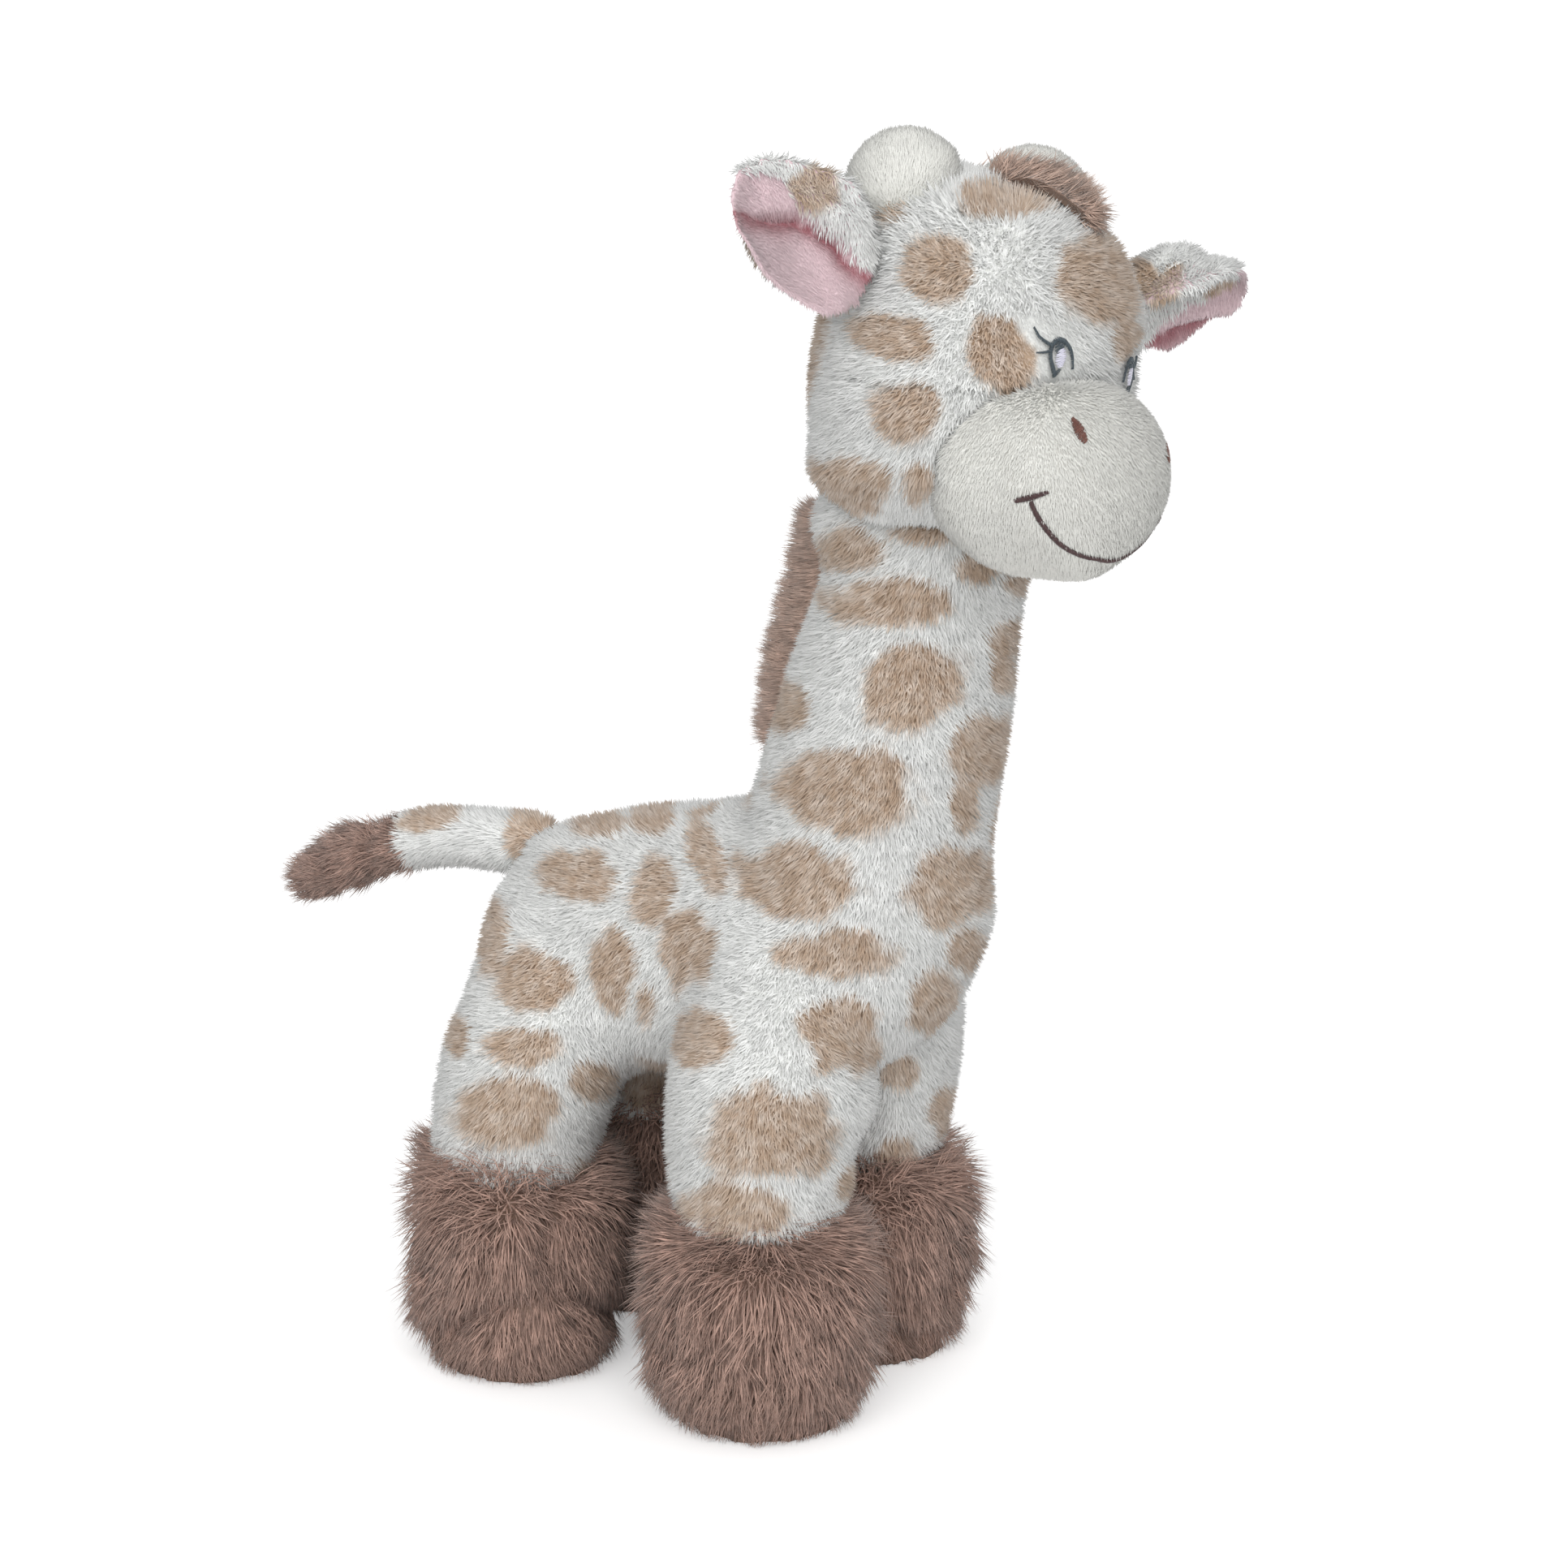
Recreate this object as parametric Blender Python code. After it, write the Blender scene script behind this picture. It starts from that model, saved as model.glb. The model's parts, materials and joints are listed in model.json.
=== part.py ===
"""Plush giraffe, standing: sewn fur-fabric shells round loose stuffing.

Metres, +Z up. The giraffe looks along -Y, its left side is at +X, and it stands on the plane z = 0.
Each sewn piece and each filling is its own object. A stuffed form is one swept shape, drawn three times:
its outside, the inside of its fabric, and its filling.
"""

import math

import bmesh
import bpy
from mathutils import Matrix, Vector
from mathutils.bvhtree import BVHTree

MM = 0.001

# Fabric and fits
GAP = 0.3 * MM
WALL = 1.6 * MM

# Torso: a sack along Y, from the chest to the rump
TORSO_FRONT_Y = -51.0 * MM
TORSO_LENGTH = 86.0 * MM
TORSO_WIDTH = 60.0 * MM
TORSO_DEPTH = 66.8 * MM
CHEST_AXIS_Z = 107.9 * MM
RUMP_AXIS_Z = 92.0 * MM
CHEST_DOME = 12.0 * MM
RUMP_DOME = 14.0 * MM
TORSO_SHARES = ((0.0, 0.74, 0.78), (0.22, 0.98, 0.98), (0.5, 0.92, 0.92), (0.76, 1.0, 0.9), (1.0, 0.8, 0.72))

# Neck: a column from the chest to the head, round where the head turns on it
NECK_BASE_Z = 99.5 * MM
NECK_BASE_Y = -37.3 * MM
NECK_SEAM_Z = 199.0 * MM
NECK_SEAM_Y = -58.0 * MM
NECK_SEAM_X = 4.0 * MM
NECK_BASE_RADIUS = 28.4 * MM
NECK_SEAM_RADIUS = 22.0 * MM
NECK_TUCK = 9.0 * MM
NECK_ROUND_LENGTH = 16.0 * MM
NECK_DOME = 15.0 * MM
NECK_SHARES = ((0.0, 1.0), (0.17, 1.0), (0.36, 0.72), (0.64, 0.45))

# Legs: a dome under the torso's skin, down to the boot
LEG_SPREAD = 25.5 * MM
LEG_TOP_SPREAD = 15.0 * MM
FRONT_LEG_Y = -31.0 * MM
LEFT_FRONT_LEG_SET_BACK = 3.5 * MM
FRONT_LEG_TOP_Y = -33.0 * MM
HIND_LEG_Y = 34.0 * MM
HIND_LEG_TOP_Y = 24.0 * MM
FRONT_LEG_TOP_Z = 105.0 * MM
HIND_LEG_TOP_Z = 96.0 * MM
LEG_ANKLE_RADIUS = 18.5 * MM
LEG_THIGH_RADIUS = 21.6 * MM
LEG_TOP_RADIUS = 18.6 * MM
LEG_DOME = 13.0 * MM
LEG_SHARES = ((0.0, 0.0, 0.0), (0.3, 0.02, 0.7), (0.62, 0.3, 1.0), (1.0, 1.0, 0.0))

# Boots: a fur ball open to the leg above and closed by the sole panel below
BOOT_HEIGHT = 47.0 * MM
BOOT_WIDTH = 48.0 * MM
BOOT_LENGTH = 50.0 * MM
BOOT_SET_FORWARD = 1.5 * MM
BOOT_SHARES = ((0.0, 0.76), (0.12, 0.92), (0.38, 1.0), (0.68, 0.98), (0.88, 0.88))
SOLE_THICKNESS = 1.6 * MM
BEAN_BAG_SHRINK = 0.6 * MM

# Head: an egg, wide at the cheeks, turned and tilted on the neck as the toy stands
HEAD_WIDTH = 71.0 * MM
HEAD_LENGTH = 68.0 * MM
HEAD_HEIGHT = 74.0 * MM
HEAD_CENTRE_ABOVE_SEAM = 38.5 * MM
HEAD_CENTRE_FORWARD = 11.5 * MM
HEAD_YAW_DEG = 12.0
HEAD_ROLL_DEG = 15.0
HEAD_SHARES = (
    (-0.94, 0.52), (-0.78, 0.84), (-0.45, 1.0), (0.0, 1.0), (0.45, 0.95), (0.78, 0.74), (0.94, 0.44),
)

# Muzzle: a smooth pad on the face
MUZZLE_WIDTH = 59.0 * MM
MUZZLE_HEIGHT = 48.0 * MM
MUZZLE_REACH = 48.0 * MM
MUZZLE_DROP = 20.0 * MM
MUZZLE_ROOT = 12.0 * MM
MUZZLE_DOME = 15.0 * MM
MUZZLE_SHARES = ((0.0, 0.86), (0.45, 0.98), (1.0, 0.86))

# Horns
HORN_DIAMETER = 26.0 * MM
HORN_SPREAD = 20.0 * MM
RIGHT_HORN_RISE = 6.5 * MM
LEFT_HORN_RISE = 10.0 * MM
HORN_SET_BACK = 8.5 * MM
HORN_LEAN = 3.0 * MM
HORN_SINK = 17.0 * MM
HORN_SHARES = ((0.0, 0.9), (0.5, 0.96), (1.0, 0.98))

# Ears: a fur back and a smooth lining, cupped, on a hinge line at the root
EAR_LENGTH = 46.0 * MM
EAR_WIDTH = 31.0 * MM
EAR_ROOT_WIDTH = 17.0 * MM
EAR_CUP = 9.0 * MM
EAR_LAYER = 1.5 * MM
EAR_ROOT_LAYER = 0.5 * MM
EAR_PINCHED_SHARE = 0.2
EAR_ROOT_HEIGHT = 11.0 * MM
EAR_SET_BACK = 2.0 * MM
RIGHT_EAR_SWEEP_DEG = 0.0
LEFT_EAR_SWEEP_DEG = -10.0
RIGHT_EAR_LIFT_DEG = 10.0
LEFT_EAR_LIFT_DEG = 25.0
RIGHT_EAR_OPEN_DEG = -15.0
LEFT_EAR_OPEN_DEG = 50.0
EAR_FAN_SHARE = -0.55
EAR_TURNED_SHARE = 0.4
EAR_ROWS = 12
EAR_COLUMNS = 8
EAR_WIDTH_SHARES = (
    (0.0, 0.0), (0.12, 0.3), (0.35, 0.86), (0.6, 1.0), (0.82, 0.74), (0.95, 0.36), (1.0, 0.0),
)

# Mane and forelock
MANE_WIDTH = 8.0 * MM
MANE_HEIGHT = 6.5 * MM
MANE_OUTLINE_SHARES = (
    (-1, 0), (-0.5, 0), (0.5, 0), (1, 0), (1, 0.55), (0.55, 1), (-0.55, 1), (-1, 0.55),
)
MANE_END_SHARE = 0.5
MANE_LOW_SHARE = 0.4
MANE_HIGH_SHARE = 0.93
FORELOCK_WIDTH = 13.0 * MM
FORELOCK_LENGTH = 31.0 * MM
FORELOCK_HEIGHT = 7.5 * MM
FORELOCK_FORWARD = 5.0 * MM
FORELOCK_END_SHARE = 0.1
FORELOCK_SHARES = ((-0.8, 0.5), (-0.35, 0.9), (0.1, 1.0), (0.55, 0.8), (0.85, 0.45))

# Tail
TAIL_ROOT_Z = 110.1 * MM
TAIL_RADIUS = 6.3 * MM
TAIL_LENGTH = 33.5 * MM
TAIL_DROP = 6.5 * MM
TAIL_SWING_DEG = 30.0
TAIL_SHARES = (0.0, 0.35, 0.7, 1.0)
TUFT_LENGTH = 30.0 * MM
TUFT_RADIUS = 9.0 * MM
TUFT_DROOP = 3.5 * MM
TUFT_DOME_SHARE = 0.2
TUFT_SHARES = ((0.0, 0.72), (0.4, 1.0), (0.8, 0.72))

# Embroidery, in the head's own directions from its centre
THREAD_RADIUS = 0.8 * MM
THREAD_END_SHARE = 0.55
EYE_SPREAD = 11.0 * MM
EYE_HEIGHT = 6.0 * MM
EYE_RADIUS = 4.2 * MM
EYE_WIDTH_SHARE = 0.6
EYE_START_DEG = -100.0
EYE_SWEEP_DEG = 220.0
NOSTRIL_SPREAD = 13.5 * MM
NOSTRIL_HEIGHT = -12.0 * MM
NOSTRIL_LENGTH = 6.0 * MM
NOSTRIL_RADIUS = 1.45 * MM
SMILE_HALF_WIDTH = 20.5 * MM
SMILE_HEIGHT = -28.0 * MM
SMILE_SAG = 9.0 * MM

SEGMENTS = 24
LIMB_SEGMENTS = 18
CORE_SEGMENTS = 12
THREAD_SIDES = 6
SPINE_STEPS = 2
DOME_RINGS = 3
SHARP_DEG = 50.0

X_AXIS = Vector((1, 0, 0))
Y_AXIS = Vector((0, 1, 0))
Z_AXIS = Vector((0, 0, 1))
SIDES = {"right": -1, "left": 1}


def clear_scene():
    for old in list(bpy.data.objects):
        bpy.data.objects.remove(old, do_unlink=True)


def plush(name, colour, roughness=0.95):
    material = bpy.data.materials.new(name)
    material.use_nodes = True
    shader = material.node_tree.nodes["Principled BSDF"]
    shader.inputs["Base Color"].default_value = (*colour, 1)
    shader.inputs["Roughness"].default_value = roughness
    shader.inputs["Metallic"].default_value = 0
    return material


def smooth_between(keys, steps):
    """Points through the keys, each a tuple of numbers or vectors, on a Catmull-Rom curve."""
    found = []
    for i in range(len(keys) - 1):
        before, a = keys[max(i - 1, 0)], keys[i]
        b, after = keys[i + 1], keys[min(i + 2, len(keys) - 1)]
        for step in range(steps):
            t = step / steps
            point = []
            for p, q, r, s in zip(before, a, b, after):
                curve = (2 * p - 5 * q + 4 * r - s) * t ** 2 + (3 * q - p - 3 * r + s) * t ** 3
                point.append((2 * q + (r - p) * t + curve) / 2)
            found.append(tuple(point))
    found.append(keys[-1])
    return found


def swept_rings(keys, across, segments, steps, inset=0, domes=(0, 0), dome_rings=DOME_RINGS, level=False):
    """Rings of points round a spine. A key is (centre, half width along across, half depth).

    The rings lie square to the spine, or all level where the form has to meet a level seam.
    """
    stations = smooth_between(keys, steps)
    spine = [s[0] for s in stations]
    rings = []
    for i, (centre, width, depth) in enumerate(stations):
        along = (spine[min(i + 1, len(spine) - 1)] - spine[max(i - 1, 0)]).normalized()
        if level:
            along = Z_AXIS
        u = (across - along * across.dot(along)).normalized()
        v = along.cross(u)
        rings.append((centre, along, u * (width - inset), v * (depth - inset)))
    return finish_rings(rings, domes, inset, dome_rings, segments)


def finish_rings(rings, domes, inset, dome_rings, segments):
    """The rings as points, with a rounded end of rings and a pole wherever the dome has a length."""
    found = [ring_points(centre, u, v, segments) for centre, _, u, v in rings]
    start = end_rings(rings[0], -1, domes[0], inset, dome_rings)
    end = end_rings(rings[-1], 1, domes[1], inset, dome_rings)
    start = [ring_points(centre, u, v, segments) if u.length else [centre] for centre, u, v in start]
    end = [ring_points(centre, u, v, segments) if u.length else [centre] for centre, u, v in end]
    return start[::-1] + found + end


def end_rings(ring, way, dome, inset, count):
    """Centres and half axes of a quarter-round end, ending in a pole. None where the end is open."""
    if not dome:
        return []
    centre, along, u, v = ring
    found = []
    for i in range(1, count + 1):
        angle = math.pi / 2 * i / count
        share = math.cos(angle) if i < count else 0
        found.append((centre + along * way * (dome - inset) * math.sin(angle), u * share, v * share))
    return found


def ring_points(centre, u, v, segments):
    angles = (2 * math.pi * i / segments for i in range(segments))
    return [centre + u * math.cos(a) + v * math.sin(a) for a in angles]


def skin(mesh, rings):
    """Faces through the rings. Returns the first and last ring's vertices."""
    rows = [[mesh.verts.new(p) for p in ring] for ring in rings]
    for low, high in zip(rows, rows[1:]):
        if len(low) == len(high):
            bridge(mesh, low, high)
        else:
            pole, ring = (low[0], high) if len(low) == 1 else (high[0], low)
            for i, vertex in enumerate(ring):
                mesh.faces.new((pole, vertex, ring[(i + 1) % len(ring)]))
    return rows[0], rows[-1]


def bridge(mesh, low, high):
    for i in range(len(low)):
        j = (i + 1) % len(low)
        mesh.faces.new((low[i], low[j], high[j], high[i]))


def add_object(name, mesh, material, body, helper=False):
    """An object of a body. The body's empty is on its joint, so that is the object's origin too."""
    bmesh.ops.recalc_face_normals(mesh, faces=mesh.faces)
    data = bpy.data.meshes.new(name)
    mesh.to_mesh(data)
    mesh.free()
    data.transform(Matrix.Translation(-BODY_ORIGINS[body]))
    data.shade_smooth()
    data.set_sharp_from_angle(angle=math.radians(SHARP_DEG))
    obj = bpy.data.objects.new(name, data)
    bpy.context.scene.collection.objects.link(obj)
    obj.parent = bpy.data.objects[body]
    if material:
        data.materials.append(material)
    if helper:
        obj.hide_render = True
        obj.display_type = "WIRE"
    return obj


def add_body(name, origin, parent=None):
    """An empty at the point that a body turns about, carried by the body before it."""
    empty = bpy.data.objects.new(name, None)
    bpy.context.scene.collection.objects.link(empty)
    BODY_ORIGINS[name] = origin
    if parent:
        empty.parent = bpy.data.objects[parent]
        empty.location = origin - BODY_ORIGINS[parent]


def solid(name, rings, material, body):
    """A closed solid through the rings, with a flat cap where an end has no pole."""
    mesh = bmesh.new()
    for end in skin(mesh, rings):
        if len(end) > 1:
            mesh.faces.new(end)
    return add_object(name, mesh, material, body, helper=material is None)


def cutter(name, rings):
    """A closed solid that only cuts others."""
    return solid(name, rings, None, "giraffe")


def shell(name, outside, inside, material, body):
    """A fabric shell. An end that has a pole is closed, and the other is an open rim."""
    mesh = bmesh.new()
    outer_ends = skin(mesh, outside)
    inner_ends = skin(mesh, inside)
    for outer, inner in zip(outer_ends, inner_ends):
        if len(outer) > 1:
            bridge(mesh, outer, inner)
    return add_object(name, mesh, material, body)


def cut(obj, *cutters):
    for cutter in cutters:
        modifier = obj.modifiers.new("cut " + cutter.name, "BOOLEAN")
        modifier.operation = "DIFFERENCE"
        modifier.solver = "EXACT"
        modifier.object = cutter
    return obj


def torso_rings(inset, segments):
    keys = []
    for share, width_share, depth_share in TORSO_SHARES:
        height = CHEST_AXIS_Z + (RUMP_AXIS_Z - CHEST_AXIS_Z) * share
        centre = Vector((0, TORSO_FRONT_Y + TORSO_LENGTH * share, height))
        keys.append((centre, TORSO_WIDTH / 2 * width_share, TORSO_DEPTH / 2 * depth_share))
    return swept_rings(keys, X_AXIS, segments, SPINE_STEPS, inset, (CHEST_DOME, RUMP_DOME))


def neck_seam():
    return Vector((NECK_SEAM_X, NECK_SEAM_Y, NECK_SEAM_Z))


def neck_axis():
    return (neck_seam() - Vector((0, NECK_BASE_Y, NECK_BASE_Z))).normalized()


def neck_keys(top):
    """The neck's spine up to the seam and on to a straight round end, top past the seam."""
    base = Vector((0, NECK_BASE_Y, NECK_BASE_Z))
    keys = []
    for share, radius_share in NECK_SHARES:
        radius = NECK_SEAM_RADIUS + (NECK_BASE_RADIUS - NECK_SEAM_RADIUS) * radius_share
        keys.append((base.lerp(neck_seam(), share), radius, radius))
    for past in (-NECK_ROUND_LENGTH, -NECK_ROUND_LENGTH / 2, top):
        keys.append((neck_seam() + neck_axis() * past, NECK_SEAM_RADIUS, NECK_SEAM_RADIUS))
    return keys


def neck_rings(inset, segments, top=NECK_TUCK):
    return swept_rings(neck_keys(top), X_AXIS, segments, SPINE_STEPS, inset, (NECK_DOME, 0))


def leg_y(front, side):
    """Where a leg stands. The left front foot stands a little behind the right one."""
    if not front:
        return HIND_LEG_Y
    return FRONT_LEG_Y + (LEFT_FRONT_LEG_SET_BACK if side > 0 else 0)


def leg_rings(front, side, inset, segments):
    low_y, high_y = leg_y(front, side), FRONT_LEG_TOP_Y if front else HIND_LEG_TOP_Y
    top_z = FRONT_LEG_TOP_Z if front else HIND_LEG_TOP_Z
    low = Vector((side * LEG_SPREAD, low_y, BOOT_HEIGHT))
    high = Vector((side * LEG_TOP_SPREAD, high_y, top_z))
    keys = []
    for share, sideways, swell in LEG_SHARES:
        centre = Vector((low.x + (high.x - low.x) * sideways, low.y + (high.y - low.y) * share,
                         low.z + (high.z - low.z) * share))
        plain = LEG_ANKLE_RADIUS + (LEG_TOP_RADIUS - LEG_ANKLE_RADIUS) * share
        radius = plain + (LEG_THIGH_RADIUS - LEG_ANKLE_RADIUS) * swell
        keys.append((centre, radius, radius))
    return swept_rings(keys, X_AXIS, segments, SPINE_STEPS, inset, (0, LEG_DOME), level=True)


def boot_centre(front, side):
    return Vector((side * LEG_SPREAD, leg_y(front, side) - BOOT_SET_FORWARD, 0))


def boot_rings(front, side, inset, segments, bottom=0.0, top=BOOT_HEIGHT - GAP):
    """The boot from the sole's plane to the ankle seam, where it is as wide as the leg."""
    centre = boot_centre(front, side)
    keys = []
    for share, size_share in BOOT_SHARES:
        height = bottom + (top - bottom) * share
        keys.append((centre + Z_AXIS * height, BOOT_WIDTH / 2 * size_share, BOOT_LENGTH / 2 * size_share))
    ankle = Vector((centre.x, centre.y + BOOT_SET_FORWARD, top))
    keys.append((ankle, LEG_ANKLE_RADIUS, LEG_ANKLE_RADIUS))
    return swept_rings(keys, X_AXIS, segments, SPINE_STEPS, inset, level=True)


def head_frame():
    """The head's own directions and centre: column 0 its left, column 1 backwards, column 2 up."""
    yaw = math.radians(-HEAD_YAW_DEG)
    forward = Matrix.Rotation(yaw, 4, Z_AXIS) @ -Y_AXIS
    centre = neck_seam() + Z_AXIS * HEAD_CENTRE_ABOVE_SEAM + forward * HEAD_CENTRE_FORWARD
    tilt = Matrix.Rotation(math.radians(HEAD_ROLL_DEG), 4, Y_AXIS)
    return Matrix.Translation(centre) @ Matrix.Rotation(yaw, 4, neck_axis()) @ tilt


def in_head(x, y, z):
    return HEAD @ Vector((x, y, z))


def head_direction(x, y, z):
    return (HEAD.to_3x3() @ Vector((x, y, z))).normalized()


def head_rings(inset, segments):
    keys = []
    for height_share, size_share in HEAD_SHARES:
        centre = in_head(0, 0, (HEAD_HEIGHT / 2 - inset) * height_share)
        keys.append((centre, (HEAD_WIDTH / 2 - inset) * size_share, (HEAD_LENGTH / 2 - inset) * size_share))
    low, high = HEAD_SHARES[0][0], HEAD_SHARES[-1][0]
    domes = ((HEAD_HEIGHT / 2 - inset) * (1 + low), (HEAD_HEIGHT / 2 - inset) * (1 - high))
    return swept_rings(keys, head_direction(1, 0, 0), segments, 1, 0, domes, dome_rings=2)


def muzzle_rings(inset, segments):
    keys = []
    body = MUZZLE_REACH - MUZZLE_ROOT - MUZZLE_DOME
    for share, size_share in MUZZLE_SHARES:
        centre = in_head(0, -MUZZLE_ROOT - body * share, -MUZZLE_DROP)
        keys.append((centre, MUZZLE_WIDTH / 2 * size_share, MUZZLE_HEIGHT / 2 * size_share))
    domes = (MUZZLE_ROOT / 2, MUZZLE_DOME)
    return swept_rings(keys, head_direction(1, 0, 0), segments, 3, inset, domes, dome_rings=4)


def horn_rings(side, inset, segments):
    radius = HORN_DIAMETER / 2
    crown = HEAD_HEIGHT / 2
    low = in_head(side * (HORN_SPREAD - HORN_LEAN), HORN_SET_BACK, crown - HORN_SINK)
    rise = RIGHT_HORN_RISE if side < 0 else LEFT_HORN_RISE
    high = in_head(side * HORN_SPREAD, HORN_SET_BACK, crown + rise - radius)
    keys = [(low.lerp(high, share), radius * size, radius * size) for share, size in HORN_SHARES]
    return swept_rings(keys, head_direction(1, 0, 0), segments, 1, inset, (0, radius), dome_rings=4)


def tree_of(rings):
    """A search tree over the closed form that the rings make, to seat small pieces on it."""
    mesh = bmesh.new()
    skin(mesh, rings)
    bmesh.ops.recalc_face_normals(mesh, faces=mesh.faces)
    tree = BVHTree.FromBMesh(mesh)
    mesh.free()
    return tree


def thread(name, path, material, radius=THREAD_RADIUS):
    """A padded line of satin stitches along points with normals, tapered at both ends."""
    points = [point + normal * (GAP + radius) for point, normal in path]
    rings = []
    for i, point in enumerate(points):
        along = (points[min(i + 1, len(points) - 1)] - points[max(i - 1, 0)]).normalized()
        side = along.cross(path[i][1]).normalized()
        lift = side.cross(along)
        share = THREAD_END_SHARE if i in (0, len(points) - 1) else 1
        rings.append(ring_points(point, side * radius * share, lift * radius * share, THREAD_SIDES))
    return solid(name, rings, material, "head")


def cast(tree, start, direction):
    """Where a ray from outside meets the form, with the outward normal there."""
    point, normal, _, _ = tree.ray_cast(start, direction)
    return point, normal


def face_point(tree, x, z):
    """The point of the face that lies at x to the head's left and z above its centre."""
    return cast(tree, in_head(x, -HEAD_LENGTH - MUZZLE_REACH, z), head_direction(0, 1, 0))


def ear_frame(side):
    """The hinge line's middle and direction, flat on the head, then those of the ear's length and width."""
    outward = head_direction(side, 0, 0)
    start = in_head(side * HEAD_WIDTH, EAR_SET_BACK, EAR_ROOT_HEIGHT)
    seat, normal = cast(HEAD_TREE, start, -outward)
    lift = math.radians(RIGHT_EAR_LIFT_DEG if side < 0 else LEFT_EAR_LIFT_DEG)
    sweep = math.radians(RIGHT_EAR_SWEEP_DEG if side < 0 else LEFT_EAR_SWEEP_DEG)
    level = math.cos(lift)
    length = head_direction(side * level * math.cos(sweep), level * math.sin(sweep), math.sin(lift))
    back = head_direction(0, 1, 0)
    opening = -(back - length * back.dot(length)).normalized()
    width = length.cross(opening) * side
    opened = math.radians(RIGHT_EAR_OPEN_DEG if side < 0 else LEFT_EAR_OPEN_DEG)
    turn = Matrix.Rotation(opened * side, 3, length)
    across = turn @ width
    hinge = (across - normal * across.dot(normal)).normalized()
    return seat + normal * (EAR_ROOT_LAYER + 3 * GAP / 2), hinge, length, across


def ear_sheet(side):
    """The ear's cupped middle sheet, as rows of points with normals from the hinge line to the tip.

    The rows turn from the hinge line to the ear's own width, so the ear is sewn on flat.
    """
    root, hinge, length, across = ear_frame(side)
    shares = smooth_between(EAR_WIDTH_SHARES, 2)
    grid = []
    for i in range(EAR_ROWS + 1):
        reach, width_share = shares[i * (len(shares) - 1) // EAR_ROWS]
        taper = EAR_ROOT_WIDTH * (1 - reach)
        half = (taper + (EAR_WIDTH - EAR_ROOT_WIDTH * (1 - reach)) * width_share) / 2
        width = hinge.lerp(across, min(reach / EAR_TURNED_SHARE, 1)).normalized()
        opening = width.cross(length).normalized() * side
        row = []
        for j in range(EAR_COLUMNS + 1):
            v = 2 * j / EAR_COLUMNS - 1
            bow = EAR_CUP * (1 - v * v) * width_share
            point = root + length * EAR_LENGTH * reach + width * half * v - opening * bow
            row.append((point, (opening + width * v * EAR_FAN_SHARE).normalized()))
        grid.append(row)
    return grid


def ear_layer(name, side, face, material):
    """One layer of an ear, on one face of its middle sheet, pinched thin where it is sewn to the head."""
    grid = ear_sheet(side)
    mesh = bmesh.new()
    rims = []
    for outer in (False, True):
        sheet = []
        for i, row in enumerate(grid):
            pinch = max(0, 1 - i / EAR_ROWS / EAR_PINCHED_SHARE)
            layer = EAR_LAYER + (EAR_ROOT_LAYER - EAR_LAYER) * pinch if outer else 0
            off = face * (GAP / 2 + layer)
            sheet.append([mesh.verts.new(point + normal * off) for point, normal in row])
        for low, high in zip(sheet, sheet[1:]):
            for j in range(EAR_COLUMNS):
                mesh.faces.new((low[j], low[j + 1], high[j + 1], high[j]))
        right_edge = [row[-1] for row in sheet[1:-1]]
        left_edge = [row[0] for row in sheet[-2:0:-1]]
        rims.append(sheet[0] + right_edge + sheet[-1][::-1] + left_edge)
    bridge(mesh, *rims)
    return add_object(name, mesh, material, ("right" if side < 0 else "left") + "_ear")


def mane_rings():
    """A fin along the back of the neck, its root following the neck's outside."""
    behind = (Y_AXIS - neck_axis() * Y_AXIS.dot(neck_axis())).normalized()
    picked = []
    for centre, _, radius in smooth_between(neck_keys(0), 4):
        share = (centre.z - NECK_BASE_Z) / (NECK_SEAM_Z - NECK_BASE_Z)
        if MANE_LOW_SHARE <= share <= MANE_HIGH_SHARE:
            picked.append(centre + behind * (radius + GAP))
    rings = []
    for i, root in enumerate(picked):
        height = MANE_HEIGHT * (MANE_END_SHARE if i in (0, len(picked) - 1) else 1)
        width = X_AXIS * MANE_WIDTH / 2
        rings.append([root + width * across + behind * height * up for across, up in MANE_OUTLINE_SHARES])
    return rings


def forelock_rings():
    """A tuft over the crown, its spine lying on the head from back to front."""
    keys = []
    for share, size in FORELOCK_SHARES:
        y = -FORELOCK_FORWARD - FORELOCK_LENGTH / 2 * share
        seat, _ = cast(HEAD_TREE, in_head(0, y, HEAD_HEIGHT), head_direction(0, 0, -1))
        keys.append((seat, FORELOCK_WIDTH / 2 * size, FORELOCK_HEIGHT * size))
    end = FORELOCK_LENGTH * FORELOCK_END_SHARE
    across = head_direction(1, 0, 0)
    return swept_rings(keys, across, LIMB_SEGMENTS, SPINE_STEPS, 0, (end, end), dome_rings=2)


def tail_root():
    """The tail's hinge point, far enough behind the rump that the tube clears it at full swing."""
    seat, normal = cast(TORSO_TREE, Vector((0, TORSO_LENGTH * 2, TAIL_ROOT_Z)), -Y_AXIS)
    normal = Vector((0, normal.y, normal.z)).normalized()
    steepest = min(normal.angle(Y_AXIS) + math.radians(TAIL_SWING_DEG), math.pi / 2)
    return seat + normal * (TAIL_RADIUS * math.sin(steepest) + GAP)


def tail_keys():
    root = tail_root()
    keys = []
    for share in TAIL_SHARES:
        centre = root + Y_AXIS * TAIL_LENGTH * share - Z_AXIS * TAIL_DROP * share ** 2
        keys.append((centre, TAIL_RADIUS, TAIL_RADIUS))
    return keys


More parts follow.
